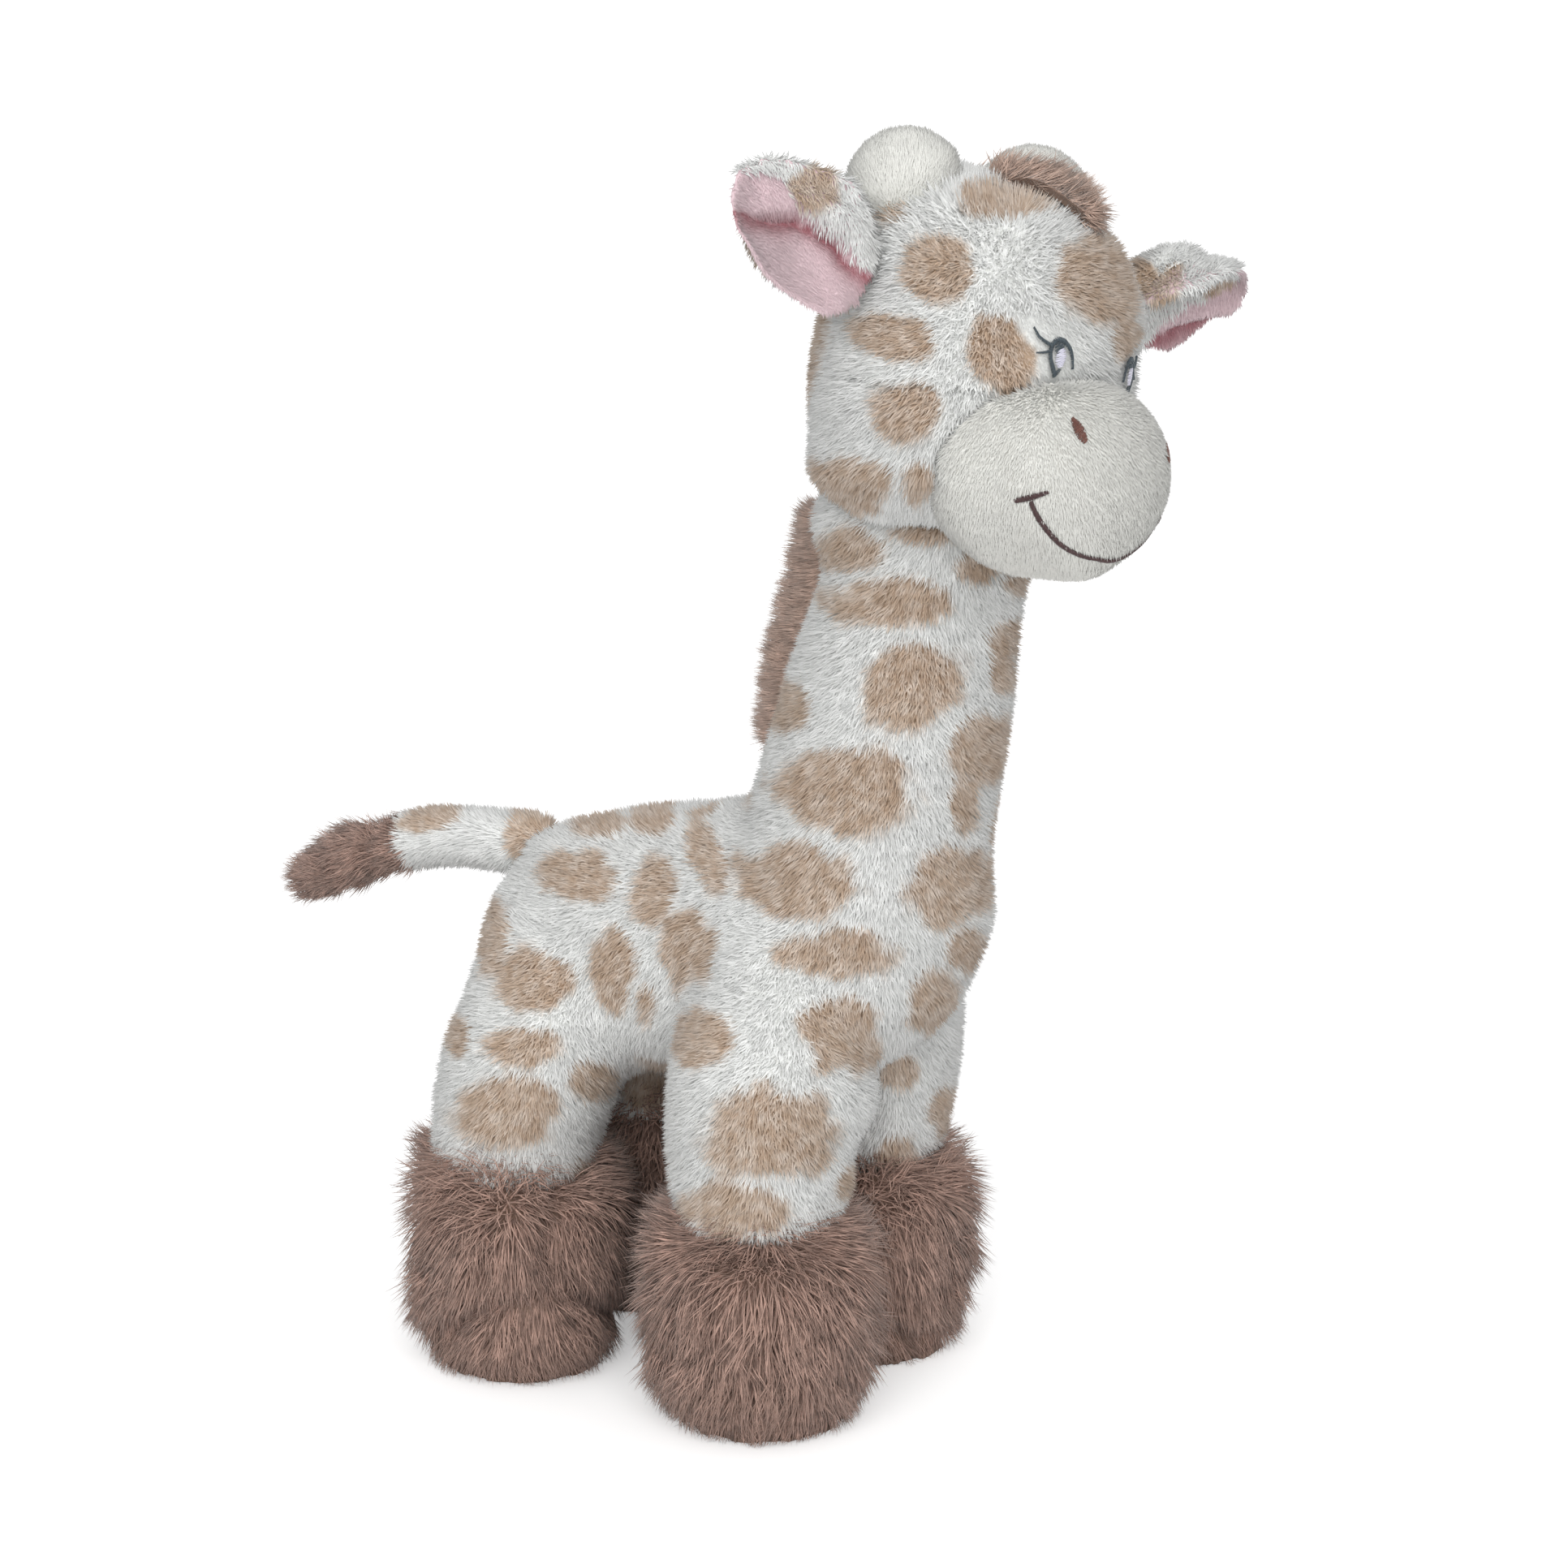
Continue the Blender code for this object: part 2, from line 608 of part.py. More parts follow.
def tuft_rings():
    """The tuft goes on in the direction that the tail ends in, and droops from there."""
    spine = [station[0] for station in smooth_between(tail_keys(), SPINE_STEPS)]
    along = (spine[-1] - spine[-2]).normalized()
    start = spine[-1] + along * GAP
    keys = []
    for share, size in TUFT_SHARES:
        centre = start + along * TUFT_LENGTH * share - Z_AXIS * TUFT_DROOP * share ** 2
        keys.append((centre, TUFT_RADIUS * size, TUFT_RADIUS * size))
    dome = TUFT_LENGTH * TUFT_DOME_SHARE
    return swept_rings(keys, X_AXIS, LIMB_SEGMENTS, SPINE_STEPS, 0, (0, dome), dome_rings=2)


def build_torso():
    cover = solid("torso_skin", torso_rings(0, SEGMENTS), SPOTTED, "giraffe")
    cavity = cutter("torso_cavity", torso_rings(WALL, SEGMENTS))
    core = solid("torso_stuffing", torso_rings(WALL + GAP, SEGMENTS), FILLING, "giraffe")
    ball = bmesh.new()
    radius = TAIL_RADIUS + GAP
    bmesh.ops.create_uvsphere(ball, u_segments=LIMB_SEGMENTS, v_segments=CORE_SEGMENTS, radius=radius)
    bmesh.ops.translate(ball, verts=ball.verts, vec=tail_root())
    hollow = add_object("tail_recess", ball, None, "giraffe", helper=True)
    cut(cover, cavity, hollow)
    cut(core, hollow)
    return cover, cavity, cutter("torso_outside", torso_rings(-GAP, SEGMENTS))


def build_neck(torso, cavity, outside):
    cut(torso, cutter("neck_cavity", neck_rings(WALL, CORE_SEGMENTS)))
    cover = shell("neck_skin", neck_rings(0, SEGMENTS), neck_rings(WALL, SEGMENTS), SPOTTED, "giraffe")
    cut(cover, outside)
    core = solid("neck_stuffing", neck_rings(WALL + GAP, CORE_SEGMENTS), FILLING, "giraffe")
    cut(core, cavity)
    solid("neck_mane", mane_rings(), BROWN_FUR, "giraffe")
    return cutter("neck_outside", neck_rings(-GAP, SEGMENTS, NECK_TUCK + GAP))


def build_leg(name, front, side, torso, cavity, outside, neck):
    cut(torso, cutter(name + "_leg_cavity", leg_rings(front, side, WALL, CORE_SEGMENTS)))
    cover = shell(name + "_leg_skin", leg_rings(front, side, 0, LIMB_SEGMENTS),
                  leg_rings(front, side, WALL, LIMB_SEGMENTS), SPOTTED, "giraffe")
    inside = leg_rings(front, side, WALL + GAP, CORE_SEGMENTS)
    core = solid(name + "_leg_stuffing", inside, FILLING, "giraffe")
    cut(cover, outside)
    cut(core, cavity)
    if front:
        cut(cover, neck)
        cut(core, neck)


def build_boot(name, front, side):
    shell(name + "_boot", boot_rings(front, side, 0, LIMB_SEGMENTS),
          boot_rings(front, side, WALL, LIMB_SEGMENTS), BROWN_FUR, "giraffe")
    centre = boot_centre(front, side)
    inset = WALL + GAP
    width = X_AXIS * (BOOT_WIDTH / 2 * BOOT_SHARES[0][1] - inset)
    length = Y_AXIS * (BOOT_LENGTH / 2 * BOOT_SHARES[0][1] - inset)
    levels = (0, SOLE_THICKNESS)
    panel = [ring_points(centre + Z_AXIS * level, width, length, LIMB_SEGMENTS) for level in levels]
    solid(name + "_sole", panel, SOLE_CLOTH, "giraffe")
    beans = boot_rings(front, side, inset + BEAN_BAG_SHRINK, CORE_SEGMENTS, SOLE_THICKNESS + GAP)
    solid(name + "_bean_bag", beans, BEAN_CLOTH, "giraffe")


def build_head(neck):
    """The head turns on the neck, so all that the neck enters is cut by the same round form."""
    cavity = cutter("head_cavity", head_rings(WALL, SEGMENTS))
    outside = cutter("head_outside", head_rings(-GAP, SEGMENTS))
    muzzle_cavity = cutter("muzzle_cavity", muzzle_rings(WALL, CORE_SEGMENTS))
    cut(solid("head_skin", head_rings(0, SEGMENTS), SPOTTED, "head"), cavity, neck, muzzle_cavity)
    cut(solid("head_stuffing", head_rings(WALL + GAP, SEGMENTS), FILLING, "head"), neck)
    cut(solid("muzzle_skin", muzzle_rings(0, SEGMENTS), CREAM, "head"), muzzle_cavity, outside, neck)
    cut(solid("muzzle_stuffing", muzzle_rings(WALL + GAP, CORE_SEGMENTS), FILLING, "head"), cavity, neck)
    cut(solid("forelock", forelock_rings(), BROWN_FUR, "head"), outside)
    for side_name, side in SIDES.items():
        horn = shell(side_name + "_horn_skin", horn_rings(side, 0, LIMB_SEGMENTS),
                     horn_rings(side, WALL, LIMB_SEGMENTS), CREAM, "head")
        inside = horn_rings(side, WALL + GAP, CORE_SEGMENTS)
        core = solid(side_name + "_horn_stuffing", inside, FILLING, "head")
        cut(horn, outside)
        cut(core, outside)


def build_ear(side_name, side):
    ear_layer(side_name + "_ear_back", side, -1, SPOTTED)
    ear_layer(side_name + "_ear_lining", side, 1, PINK)


def build_tail():
    """The tail's round root sits in the recess of the torso."""
    def tube(segments, inset):
        return swept_rings(tail_keys(), X_AXIS, segments, SPINE_STEPS, inset, (TAIL_RADIUS, 0))

    shell("tail_skin", tube(LIMB_SEGMENTS, 0), tube(LIMB_SEGMENTS, WALL), SPOTTED, "tail")
    solid("tail_stuffing", tube(CORE_SEGMENTS, WALL + GAP), FILLING, "tail")
    solid("tail_tuft", tuft_rings(), BROWN_FUR, "tail")


def eye_path(side, points=9):
    """The closed lid's arc, on the head above the muzzle."""
    path = []
    for i in range(points):
        angle = math.radians(EYE_START_DEG + EYE_SWEEP_DEG * i / (points - 1))
        x = side * (EYE_SPREAD - EYE_RADIUS * EYE_WIDTH_SHARE * math.cos(angle))
        path.append(face_point(HEAD_TREE, x, EYE_HEIGHT + EYE_RADIUS * math.sin(angle)))
    return path


def nostril_path(side, points=5):
    path = []
    for i in range(points):
        z = NOSTRIL_HEIGHT + NOSTRIL_LENGTH * (i / (points - 1) - 1 / 2)
        path.append(face_point(MUZZLE_TREE, side * NOSTRIL_SPREAD, z))
    return path


def smile_path(points=15):
    path = []
    for i in range(points):
        v = 2 * i / (points - 1) - 1
        path.append(face_point(MUZZLE_TREE, SMILE_HALF_WIDTH * v, SMILE_HEIGHT - SMILE_SAG * (1 - v * v)))
    return path


def box_middle():
    """The middle of the visible pieces' box, at floor level."""
    bpy.context.view_layer.update()
    graph = bpy.context.evaluated_depsgraph_get()
    low, high = Vector((math.inf,) * 3), Vector((-math.inf,) * 3)
    for obj in bpy.data.objects:
        if obj.type != "MESH" or obj.hide_render:
            continue
        piece = obj.evaluated_get(graph)
        for vertex in piece.to_mesh().vertices:
            point = piece.matrix_world @ vertex.co
            low = Vector(map(min, low, point))
            high = Vector(map(max, high, point))
    return Vector(((low.x + high.x) / 2, (low.y + high.y) / 2, low.z))


clear_scene()

SPOTTED = plush("spotted_short_pile", (0.75, 0.70, 0.62))
CREAM = plush("cream_velour", (0.75, 0.74, 0.68))
BROWN_FUR = plush("brown_long_pile", (0.25, 0.17, 0.14))
PINK = plush("pink_velour", (0.78, 0.55, 0.58))
FILLING = plush("polyester_fibre", (0.9, 0.9, 0.88))
SOLE_CLOTH = plush("brown_sole_cloth", (0.22, 0.15, 0.12))
BEAN_CLOTH = plush("bean_bag_cloth", (0.8, 0.8, 0.76))
DARK_THREAD = plush("slate_thread", (0.06, 0.08, 0.1), 0.6)
BROWN_THREAD = plush("brown_thread", (0.09, 0.04, 0.03), 0.6)

HEAD = head_frame()
HEAD_TREE = tree_of(head_rings(0, SEGMENTS))
MUZZLE_TREE = tree_of(muzzle_rings(0, SEGMENTS))
TORSO_TREE = tree_of(torso_rings(0, SEGMENTS))

BODY_ORIGINS = {}
add_body("giraffe", Vector())
add_body("head", neck_seam(), "giraffe")
add_body("tail", tail_root(), "giraffe")
for side_name, side in SIDES.items():
    add_body(side_name + "_ear", ear_frame(side)[0], "head")

torso_cover, torso_cavity, torso_outside = build_torso()
neck_outside = build_neck(torso_cover, torso_cavity, torso_outside)
for pair, is_front in (("front", True), ("hind", False)):
    for side_name, side in SIDES.items():
        limb = pair + "_" + side_name
        build_leg(limb, is_front, side, torso_cover, torso_cavity, torso_outside, neck_outside)
        build_boot(limb, is_front, side)
build_head(neck_outside)
build_tail()
for side_name, side in SIDES.items():
    build_ear(side_name, side)
    thread(side_name + "_eye", eye_path(side), DARK_THREAD)
    thread(side_name + "_nostril", nostril_path(side), BROWN_THREAD, NOSTRIL_RADIUS)
thread("smile", smile_path(), BROWN_THREAD)

middle = box_middle()
bpy.data.objects["giraffe"].location = -middle

print("moved by", -middle)
print("head turns at", neck_seam() - middle, "about", neck_axis())
print("tail swings at", tail_root() - middle)
for side_name, side in SIDES.items():
    ear_root, ear_hinge, _, _ = ear_frame(side)
    print(side_name, "ear folds at", ear_root - middle, "about", ear_hinge)
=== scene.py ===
"""Plush giraffe: sewn covers, pile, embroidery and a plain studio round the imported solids."""

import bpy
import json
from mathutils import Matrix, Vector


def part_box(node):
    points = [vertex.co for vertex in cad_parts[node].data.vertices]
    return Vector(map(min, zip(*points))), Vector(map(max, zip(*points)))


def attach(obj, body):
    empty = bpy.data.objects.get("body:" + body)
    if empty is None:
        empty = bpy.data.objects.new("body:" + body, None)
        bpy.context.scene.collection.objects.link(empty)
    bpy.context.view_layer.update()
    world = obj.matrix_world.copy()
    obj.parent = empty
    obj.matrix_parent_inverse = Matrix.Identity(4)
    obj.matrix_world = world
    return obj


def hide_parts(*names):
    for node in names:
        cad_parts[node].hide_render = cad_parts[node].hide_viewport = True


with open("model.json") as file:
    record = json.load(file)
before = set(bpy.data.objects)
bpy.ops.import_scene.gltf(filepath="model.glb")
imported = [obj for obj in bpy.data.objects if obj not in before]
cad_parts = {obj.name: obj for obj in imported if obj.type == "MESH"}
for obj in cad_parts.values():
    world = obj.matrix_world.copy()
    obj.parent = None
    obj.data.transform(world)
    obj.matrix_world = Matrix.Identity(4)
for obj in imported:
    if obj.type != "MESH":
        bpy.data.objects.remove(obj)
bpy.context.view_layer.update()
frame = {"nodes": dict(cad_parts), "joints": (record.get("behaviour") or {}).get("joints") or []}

import json
import math

import bmesh
import bpy
import numpy as np
from mathutils import Vector, noise
from mathutils.bvhtree import BVHTree

SCENE = bpy.context.scene
NODES = frame["nodes"]
MM = 0.001

# Camera: the photograph's viewing angle, worked out from the feet and the head

PHOTO_SIDE = 1932
CAMERA_AZIMUTH = math.radians(-58)
CAMERA_ELEVATION = math.radians(16)
CAMERA_DISTANCE = 1196 * MM
PIXELS_PER_METRE = 5606
AIM_HEIGHT = 137.5 * MM
AIM_BEHIND_FOOT = 10.2 * MM
SENSOR_WIDTH = 36
FARTHEST_SEEN = 40

BACK = np.array((
    math.sin(CAMERA_AZIMUTH) * math.cos(CAMERA_ELEVATION),
    -math.cos(CAMERA_AZIMUTH) * math.cos(CAMERA_ELEVATION),
    math.sin(CAMERA_ELEVATION),
))
RIGHT = np.array((math.cos(CAMERA_AZIMUTH), math.sin(CAMERA_AZIMUTH), 0.0))
UP = np.cross(BACK, RIGHT)


def box_middle(node):
    low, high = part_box(node)
    return (low + high) / 2


AIM = np.array((
    box_middle("torso_skin").x,
    box_middle("front_right_sole").y + AIM_BEHIND_FOOT,
    AIM_HEIGHT,
))
EYE_POINT = AIM + CAMERA_DISTANCE * BACK
FOCAL_PIXELS = PIXELS_PER_METRE * CAMERA_DISTANCE


def pixels(points):
    """Where points fall in the photograph, in its pixels."""
    away = np.atleast_2d(points) - EYE_POINT
    depth = -(away @ BACK)
    across = PHOTO_SIDE / 2 + FOCAL_PIXELS * (away @ RIGHT) / depth
    down = PHOTO_SIDE / 2 - FOCAL_PIXELS * (away @ UP) / depth
    return np.stack([across, down], 1)


def sight(across, down):
    """The direction from the camera through a pixel of the photograph."""
    ray = (-BACK + (across - PHOTO_SIDE / 2) / FOCAL_PIXELS * RIGHT
           - (down - PHOTO_SIDE / 2) / FOCAL_PIXELS * UP)
    return Vector(ray).normalized()


def place_camera():
    data = bpy.data.cameras.new("camera")
    data.sensor_width = SENSOR_WIDTH
    data.lens = SENSOR_WIDTH * FOCAL_PIXELS / PHOTO_SIDE
    data.clip_end = FARTHEST_SEEN
    camera = bpy.data.objects.new("camera", data)
    camera.location = EYE_POINT
    camera.rotation_euler = Vector(BACK).to_track_quat("Z", "Y").to_euler()
    SCENE.collection.objects.link(camera)
    SCENE.camera = camera


# Nodes and materials


def node(tree, kind, inputs=None, **settings):
    """Adds a node with its settings, and sets or links its inputs."""
    made = tree.nodes.new(kind)
    for name, value in settings.items():
        setattr(made, name, value)
    for name, value in (inputs or {}).items():
        socket = made.inputs[name]
        if isinstance(value, bpy.types.NodeSocket):
            tree.links.new(value, socket)
        else:
            socket.default_value = value
    return made


def colour(hex_value):
    """An sRGB hex value as a linear colour."""
    channels = []
    for start in (1, 3, 5):
        value = int(hex_value[start:start + 2], 16) / 255
        channels.append(value / 12.92 if value <= 0.04045 else ((value + 0.055) / 1.055) ** 2.4)
    return (*channels, 1.0)


def per_metre(size):
    """The scale of a noise whose features are of this size."""
    return 1 / size


PATCH_THIN = 0.3
CLUMP_LOW = 0.35
CLUMP_HIGH = 0.62


def blank_material(name):
    material = bpy.data.materials.new(name)
    material.use_nodes = True
    material.node_tree.nodes.clear()
    return material, material.node_tree


def pile_material(name, light, dark, sheen, clump=3 * MM, spread=0.16, roughness=0.95):
    """Pile fibre: light ground and dyed patches by one attribute, which on the ear linings' pink nap
    carries painted crease shade instead; each fibre a little lighter or darker than the next, with
    soft clumps."""
    material, tree = blank_material(name)
    patch_and_shade = node(tree, "ShaderNodeAttribute", attribute_name="dye_and_crease_shade")
    shade = node(tree, "ShaderNodeAttribute", attribute_name="shade")
    place = node(tree, "ShaderNodeTexCoord").outputs["Object"]
    clumps = node(tree, "ShaderNodeTexNoise", {
        "Vector": place, "Scale": per_metre(clump), "Detail": 2.0, "Roughness": 0.6,
    })
    thin = node(tree, "ShaderNodeMapRange", {
        "Value": clumps.outputs["Fac"], "From Min": CLUMP_LOW, "From Max": CLUMP_HIGH,
        "To Min": 1 - PATCH_THIN, "To Max": 1.0,
    })
    dye_and_shade_amount = node(tree, "ShaderNodeMath", {0: patch_and_shade.outputs["Fac"], 1: thin.outputs[0]},
               operation="MULTIPLY")
    dyed_and_shaded = node(tree, "ShaderNodeMix", {0: dye_and_shade_amount.outputs[0], 6: colour(light), 7: colour(dark)},
                data_type="RGBA")
    uneven = node(tree, "ShaderNodeMapRange", {
        "Value": clumps.outputs["Fac"], "From Min": 0.3, "From Max": 0.7,
        "To Min": 1 + spread, "To Max": 1 - spread,
    })
    single = node(tree, "ShaderNodeMapRange", {
        "Value": shade.outputs["Fac"], "To Min": 1 - spread, "To Max": 1 + spread,
    })
    value = node(tree, "ShaderNodeMath", {0: uneven.outputs[0], 1: single.outputs[0]},
                 operation="MULTIPLY")
    toned = node(tree, "ShaderNodeHueSaturation", {
        "Value": value.outputs[0], "Color": dyed_and_shaded.outputs[2],
    })
    shader = node(tree, "ShaderNodeBsdfPrincipled", {
        "Base Color": toned.outputs["Color"], "Roughness": roughness, "IOR": 1.5,
        "Specular IOR Level": 0.15, "Sheen Weight": sheen, "Sheen Roughness": 0.6,
    })
    node(tree, "ShaderNodeOutputMaterial", {"Surface": shader.outputs[0]})
    return material


def cloth_material(name, light, dark, thread, sheen=0.2, bump=0.25, reads_dye_and_shade=True):
    """Knitted backing cloth: a fine loop grain, with the same dyed patches as its pile; on the ear
    linings it carries the same painted crease shade instead.
    """
    material, tree = blank_material(name)
    place = node(tree, "ShaderNodeTexCoord").outputs["Object"]
    grain = node(tree, "ShaderNodeTexVoronoi", {"Vector": place, "Scale": per_metre(thread)})
    mottle = node(tree, "ShaderNodeTexNoise", {
        "Vector": place, "Scale": per_metre(thread * 6), "Detail": 3.0,
    })
    if reads_dye_and_shade:
        patch_and_shade = node(tree, "ShaderNodeAttribute", attribute_name="dye_and_crease_shade").outputs["Fac"]
    else:
        patch_and_shade = node(tree, "ShaderNodeMapRange", {
            "Value": mottle.outputs["Fac"], "From Min": 0.35, "From Max": 0.65,
        }).outputs["Result"]
    dyed_and_shaded = node(tree, "ShaderNodeMix", {0: patch_and_shade, 6: colour(light), 7: colour(dark)},
                data_type="RGBA")
    loops = node(tree, "ShaderNodeMapRange", {
        "Value": grain.outputs["Distance"], "To Min": 1.04, "To Max": 0.86,
    })
    toned = node(tree, "ShaderNodeHueSaturation", {
        "Value": loops.outputs[0], "Color": dyed_and_shaded.outputs[2],
    })
    height = node(tree, "ShaderNodeBump", {
        "Height": grain.outputs["Distance"], "Strength": bump, "Distance": thread / 2,
    }, invert=True)
    shader = node(tree, "ShaderNodeBsdfPrincipled", {
        "Base Color": toned.outputs["Color"], "Roughness": 0.95, "IOR": 1.5,
        "Specular IOR Level": 0.15, "Sheen Weight": sheen, "Sheen Roughness": 0.6,
        "Normal": height.outputs[0],
    })
    node(tree, "ShaderNodeOutputMaterial", {"Surface": shader.outputs[0]})
    return material


def thread_material(name, base, deep, roughness=0.45):
    """Rayon embroidery thread: twisted and glossy, so each stitch catches a thin light."""
    material, tree = blank_material(name)
    place = node(tree, "ShaderNodeTexCoord").outputs["Object"]
    shade = node(tree, "ShaderNodeAttribute", attribute_name="shade")
    twist = node(tree, "ShaderNodeTexNoise", {
        "Vector": place, "Scale": per_metre(0.25 * MM), "Detail": 1.0,
    })
    twisted = node(tree, "ShaderNodeMapRange", {
        "Value": twist.outputs["Fac"], "From Min": 0.3, "From Max": 0.7, "To Max": 0.5,
    })
    single = node(tree, "ShaderNodeMapRange", {"Value": shade.outputs["Fac"], "To Max": 0.5})
    deepness = node(tree, "ShaderNodeMath", {0: twisted.outputs[0], 1: single.outputs[0]},
                    operation="ADD")
    toned = node(tree, "ShaderNodeMix", {
        0: deepness.outputs[0], 6: colour(base), 7: colour(deep),
    }, data_type="RGBA")
    height = node(tree, "ShaderNodeBump", {
        "Height": twist.outputs["Fac"], "Strength": 0.3, "Distance": 0.05 * MM,
    })
    shader = node(tree, "ShaderNodeBsdfPrincipled", {
        "Base Color": toned.outputs[2], "Roughness": roughness, "IOR": 1.5,
        "Specular IOR Level": 0.4, "Sheen Weight": 0.1, "Normal": height.outputs[0],
    })
    node(tree, "ShaderNodeOutputMaterial", {"Surface": shader.outputs[0]})
    return material


# Polyester minky: knitted, dyed in patches and sheared, so it is soft, dull and a little clumped.
SPOTTED_PILE = pile_material("dyed_polyester_pile", "#f9faf8", "#d1b8a1", 0.2, spread=0.11)
# Painted shade: each backing cloth is coloured a little darker than its pile, for the shade at the
# fibres' roots.
SPOTTED_CLOTH = cloth_material("knitted_polyester_backing", "#f2f3f0", "#c0a891", 0.8 * MM)
# Acrylic long pile: brushed and left unsheared, so it parts into shaggy locks.
BROWN_PILE = pile_material("brushed_acrylic_long_pile", "#a3877b", "#80624f", 0.2, 3 * MM, 0.36)
# The same acrylic cut short as a fringe, coloured paler: painted light, for the many fibre ends that
# catch the light.
FRINGE_PILE = pile_material("cut_acrylic_fringe", "#bba294", "#7d6455", 0.25, 3 * MM, 0.3)
# Painted shade: this backing is coloured darker than its pile, for the shade at the fibres' roots.
BROWN_CLOTH = cloth_material("acrylic_pile_backing", "#8d7567", "#735d50", 0.9 * MM,
                             reads_dye_and_shade=False)
# Polyester velour: cut short and even, so it shades smoothly with a faint mottle.
CREAM_PILE = pile_material("sheared_cream_velour_nap", "#f1f1eb", "#dddbd4", 0.25, 5 * MM, 0.04)
CREAM_CLOTH = cloth_material("cream_velour_ground", "#efefe9", "#e4e3dc", 0.6 * MM, 0.3, 0.15,
                             reads_dye_and_shade=False)
# Painted shade: the pink's dark end colours the ear linings along their creases, where the roll
# above would shade them.
PINK_PILE = pile_material("sheared_pink_velour_nap", "#edd4d9", "#b06a72", 0.25, 4 * MM, 0.05)
PINK_CLOTH = cloth_material("pink_velour_ground", "#ecd1d7", "#b06a72", 0.6 * MM, 0.3, 0.15)
# Polyester felt, pressed: a short flat nap under each foot.
SOLE_CLOTH = cloth_material("pressed_brown_felt", "#8a6f60", "#755c4f", 0.7 * MM,
                            reads_dye_and_shade=False)
SLATE_THREAD = thread_material("slate_rayon_thread", "#4f5b62", "#333c42")
BROWN_THREAD = thread_material("brown_rayon_thread", "#5a4140", "#3a2629")
RED_BROWN_THREAD = thread_material("red_brown_rayon_thread", "#85584c", "#55352d")
LILAC_THREAD = thread_material("lilac_rayon_thread", "#e6e5f0", "#c9c7d8")

# Covers: the solids' skins and fillings as one soft sewn form each

WELD = 0.01 * MM
CLOTH_FRAMES = 20
CLOTH_PRESSURE = 4
SOFTEN_FACTOR = 0.5
FLAT_EASE = 10 * MM


def add_piece(name, mesh, material, body):
    piece = bpy.data.objects.new(name, mesh)
    SCENE.collection.objects.link(piece)
    mesh.materials.clear()
    mesh.materials.append(material)
    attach(piece, body)
    return piece


def joined(nodes):
    """Copies of CAD nodes as one welded mesh."""
    shape = bmesh.new()
    for name in nodes:
        shape.from_mesh(NODES[name].data)
    bmesh.ops.remove_doubles(shape, verts=shape.verts, dist=WELD)
    mesh = bpy.data.meshes.new("joined")
    shape.to_mesh(mesh)
    shape.free()
    return mesh


def evaluated_mesh(piece):
    """The piece with its modifiers, as a plain mesh."""
    graph = bpy.context.evaluated_depsgraph_get()
    graph.update()
    return bpy.data.meshes.new_from_object(piece.evaluated_get(graph))


def outer_island(mesh):
    """Keeps the largest connected surface, which is the outside."""
    shape = bmesh.new()
    shape.from_mesh(mesh)
    unseen = set(shape.verts)
    largest = []
    while unseen:
        group, edge = [], [unseen.pop()]
        while edge:
            vertex = edge.pop()
            group.append(vertex)
            for link in vertex.link_edges:
                other = link.other_vert(vertex)
                if other in unseen:
                    unseen.remove(other)
                    edge.append(other)
        if len(group) > len(largest):
            largest = group
    kept = set(largest)
    bmesh.ops.delete(shape, geom=[v for v in shape.verts if v not in kept], context="VERTS")
    shape.to_mesh(mesh)
    shape.free()


def vectors_of(mesh, field):
    flat = np.zeros(len(mesh.vertices) * 3, np.float32)
    mesh.vertices.foreach_get(field, flat)
    return flat.reshape(-1, 3).astype(float)


def points_of(mesh):
    return vectors_of(mesh, "co")


def normals_of(mesh):
    return vectors_of(mesh, "normal")


def set_points(mesh, points):
    mesh.vertices.foreach_set("co", points.astype(np.float32).ravel())
    mesh.update()


def set_attribute(mesh, name, values, kind="FLOAT"):
    attribute = mesh.attributes.get(name) or mesh.attributes.new(name, kind, "POINT")
    field = "vector" if kind == "FLOAT_VECTOR" else "value"
    attribute.data.foreach_set(field, np.asarray(values, np.float32).ravel())


def unit(vectors):
    return vectors / (np.linalg.norm(vectors, axis=-1, keepdims=True) + 1e-12)


def eased(value, start, end):
    share = np.clip((value - start) / (end - start), 0, 1)
    return share * share * (3 - 2 * share)


def swollen(holder, cap):
    """Lets the filling press the cloth outwards, and keeps each point within the cap."""
    start = points_of(holder.data)
    cloth = holder.modifiers.new("cloth", "CLOTH")
    cloth.settings.use_pressure = True
    cloth.settings.uniform_pressure_force = CLOTH_PRESSURE
    cloth.settings.effector_weights.gravity = 0
    for frame_number in range(1, CLOTH_FRAMES + 1):
        SCENE.frame_set(frame_number)
    mesh = evaluated_mesh(holder)
    holder.modifiers.clear()
    moved = points_of(mesh) - start
    SCENE.frame_set(1)
    length = np.linalg.norm(moved, axis=1, keepdims=True) + 1e-12
    set_points(mesh, start + moved * np.minimum(1, cap / length))
    return mesh


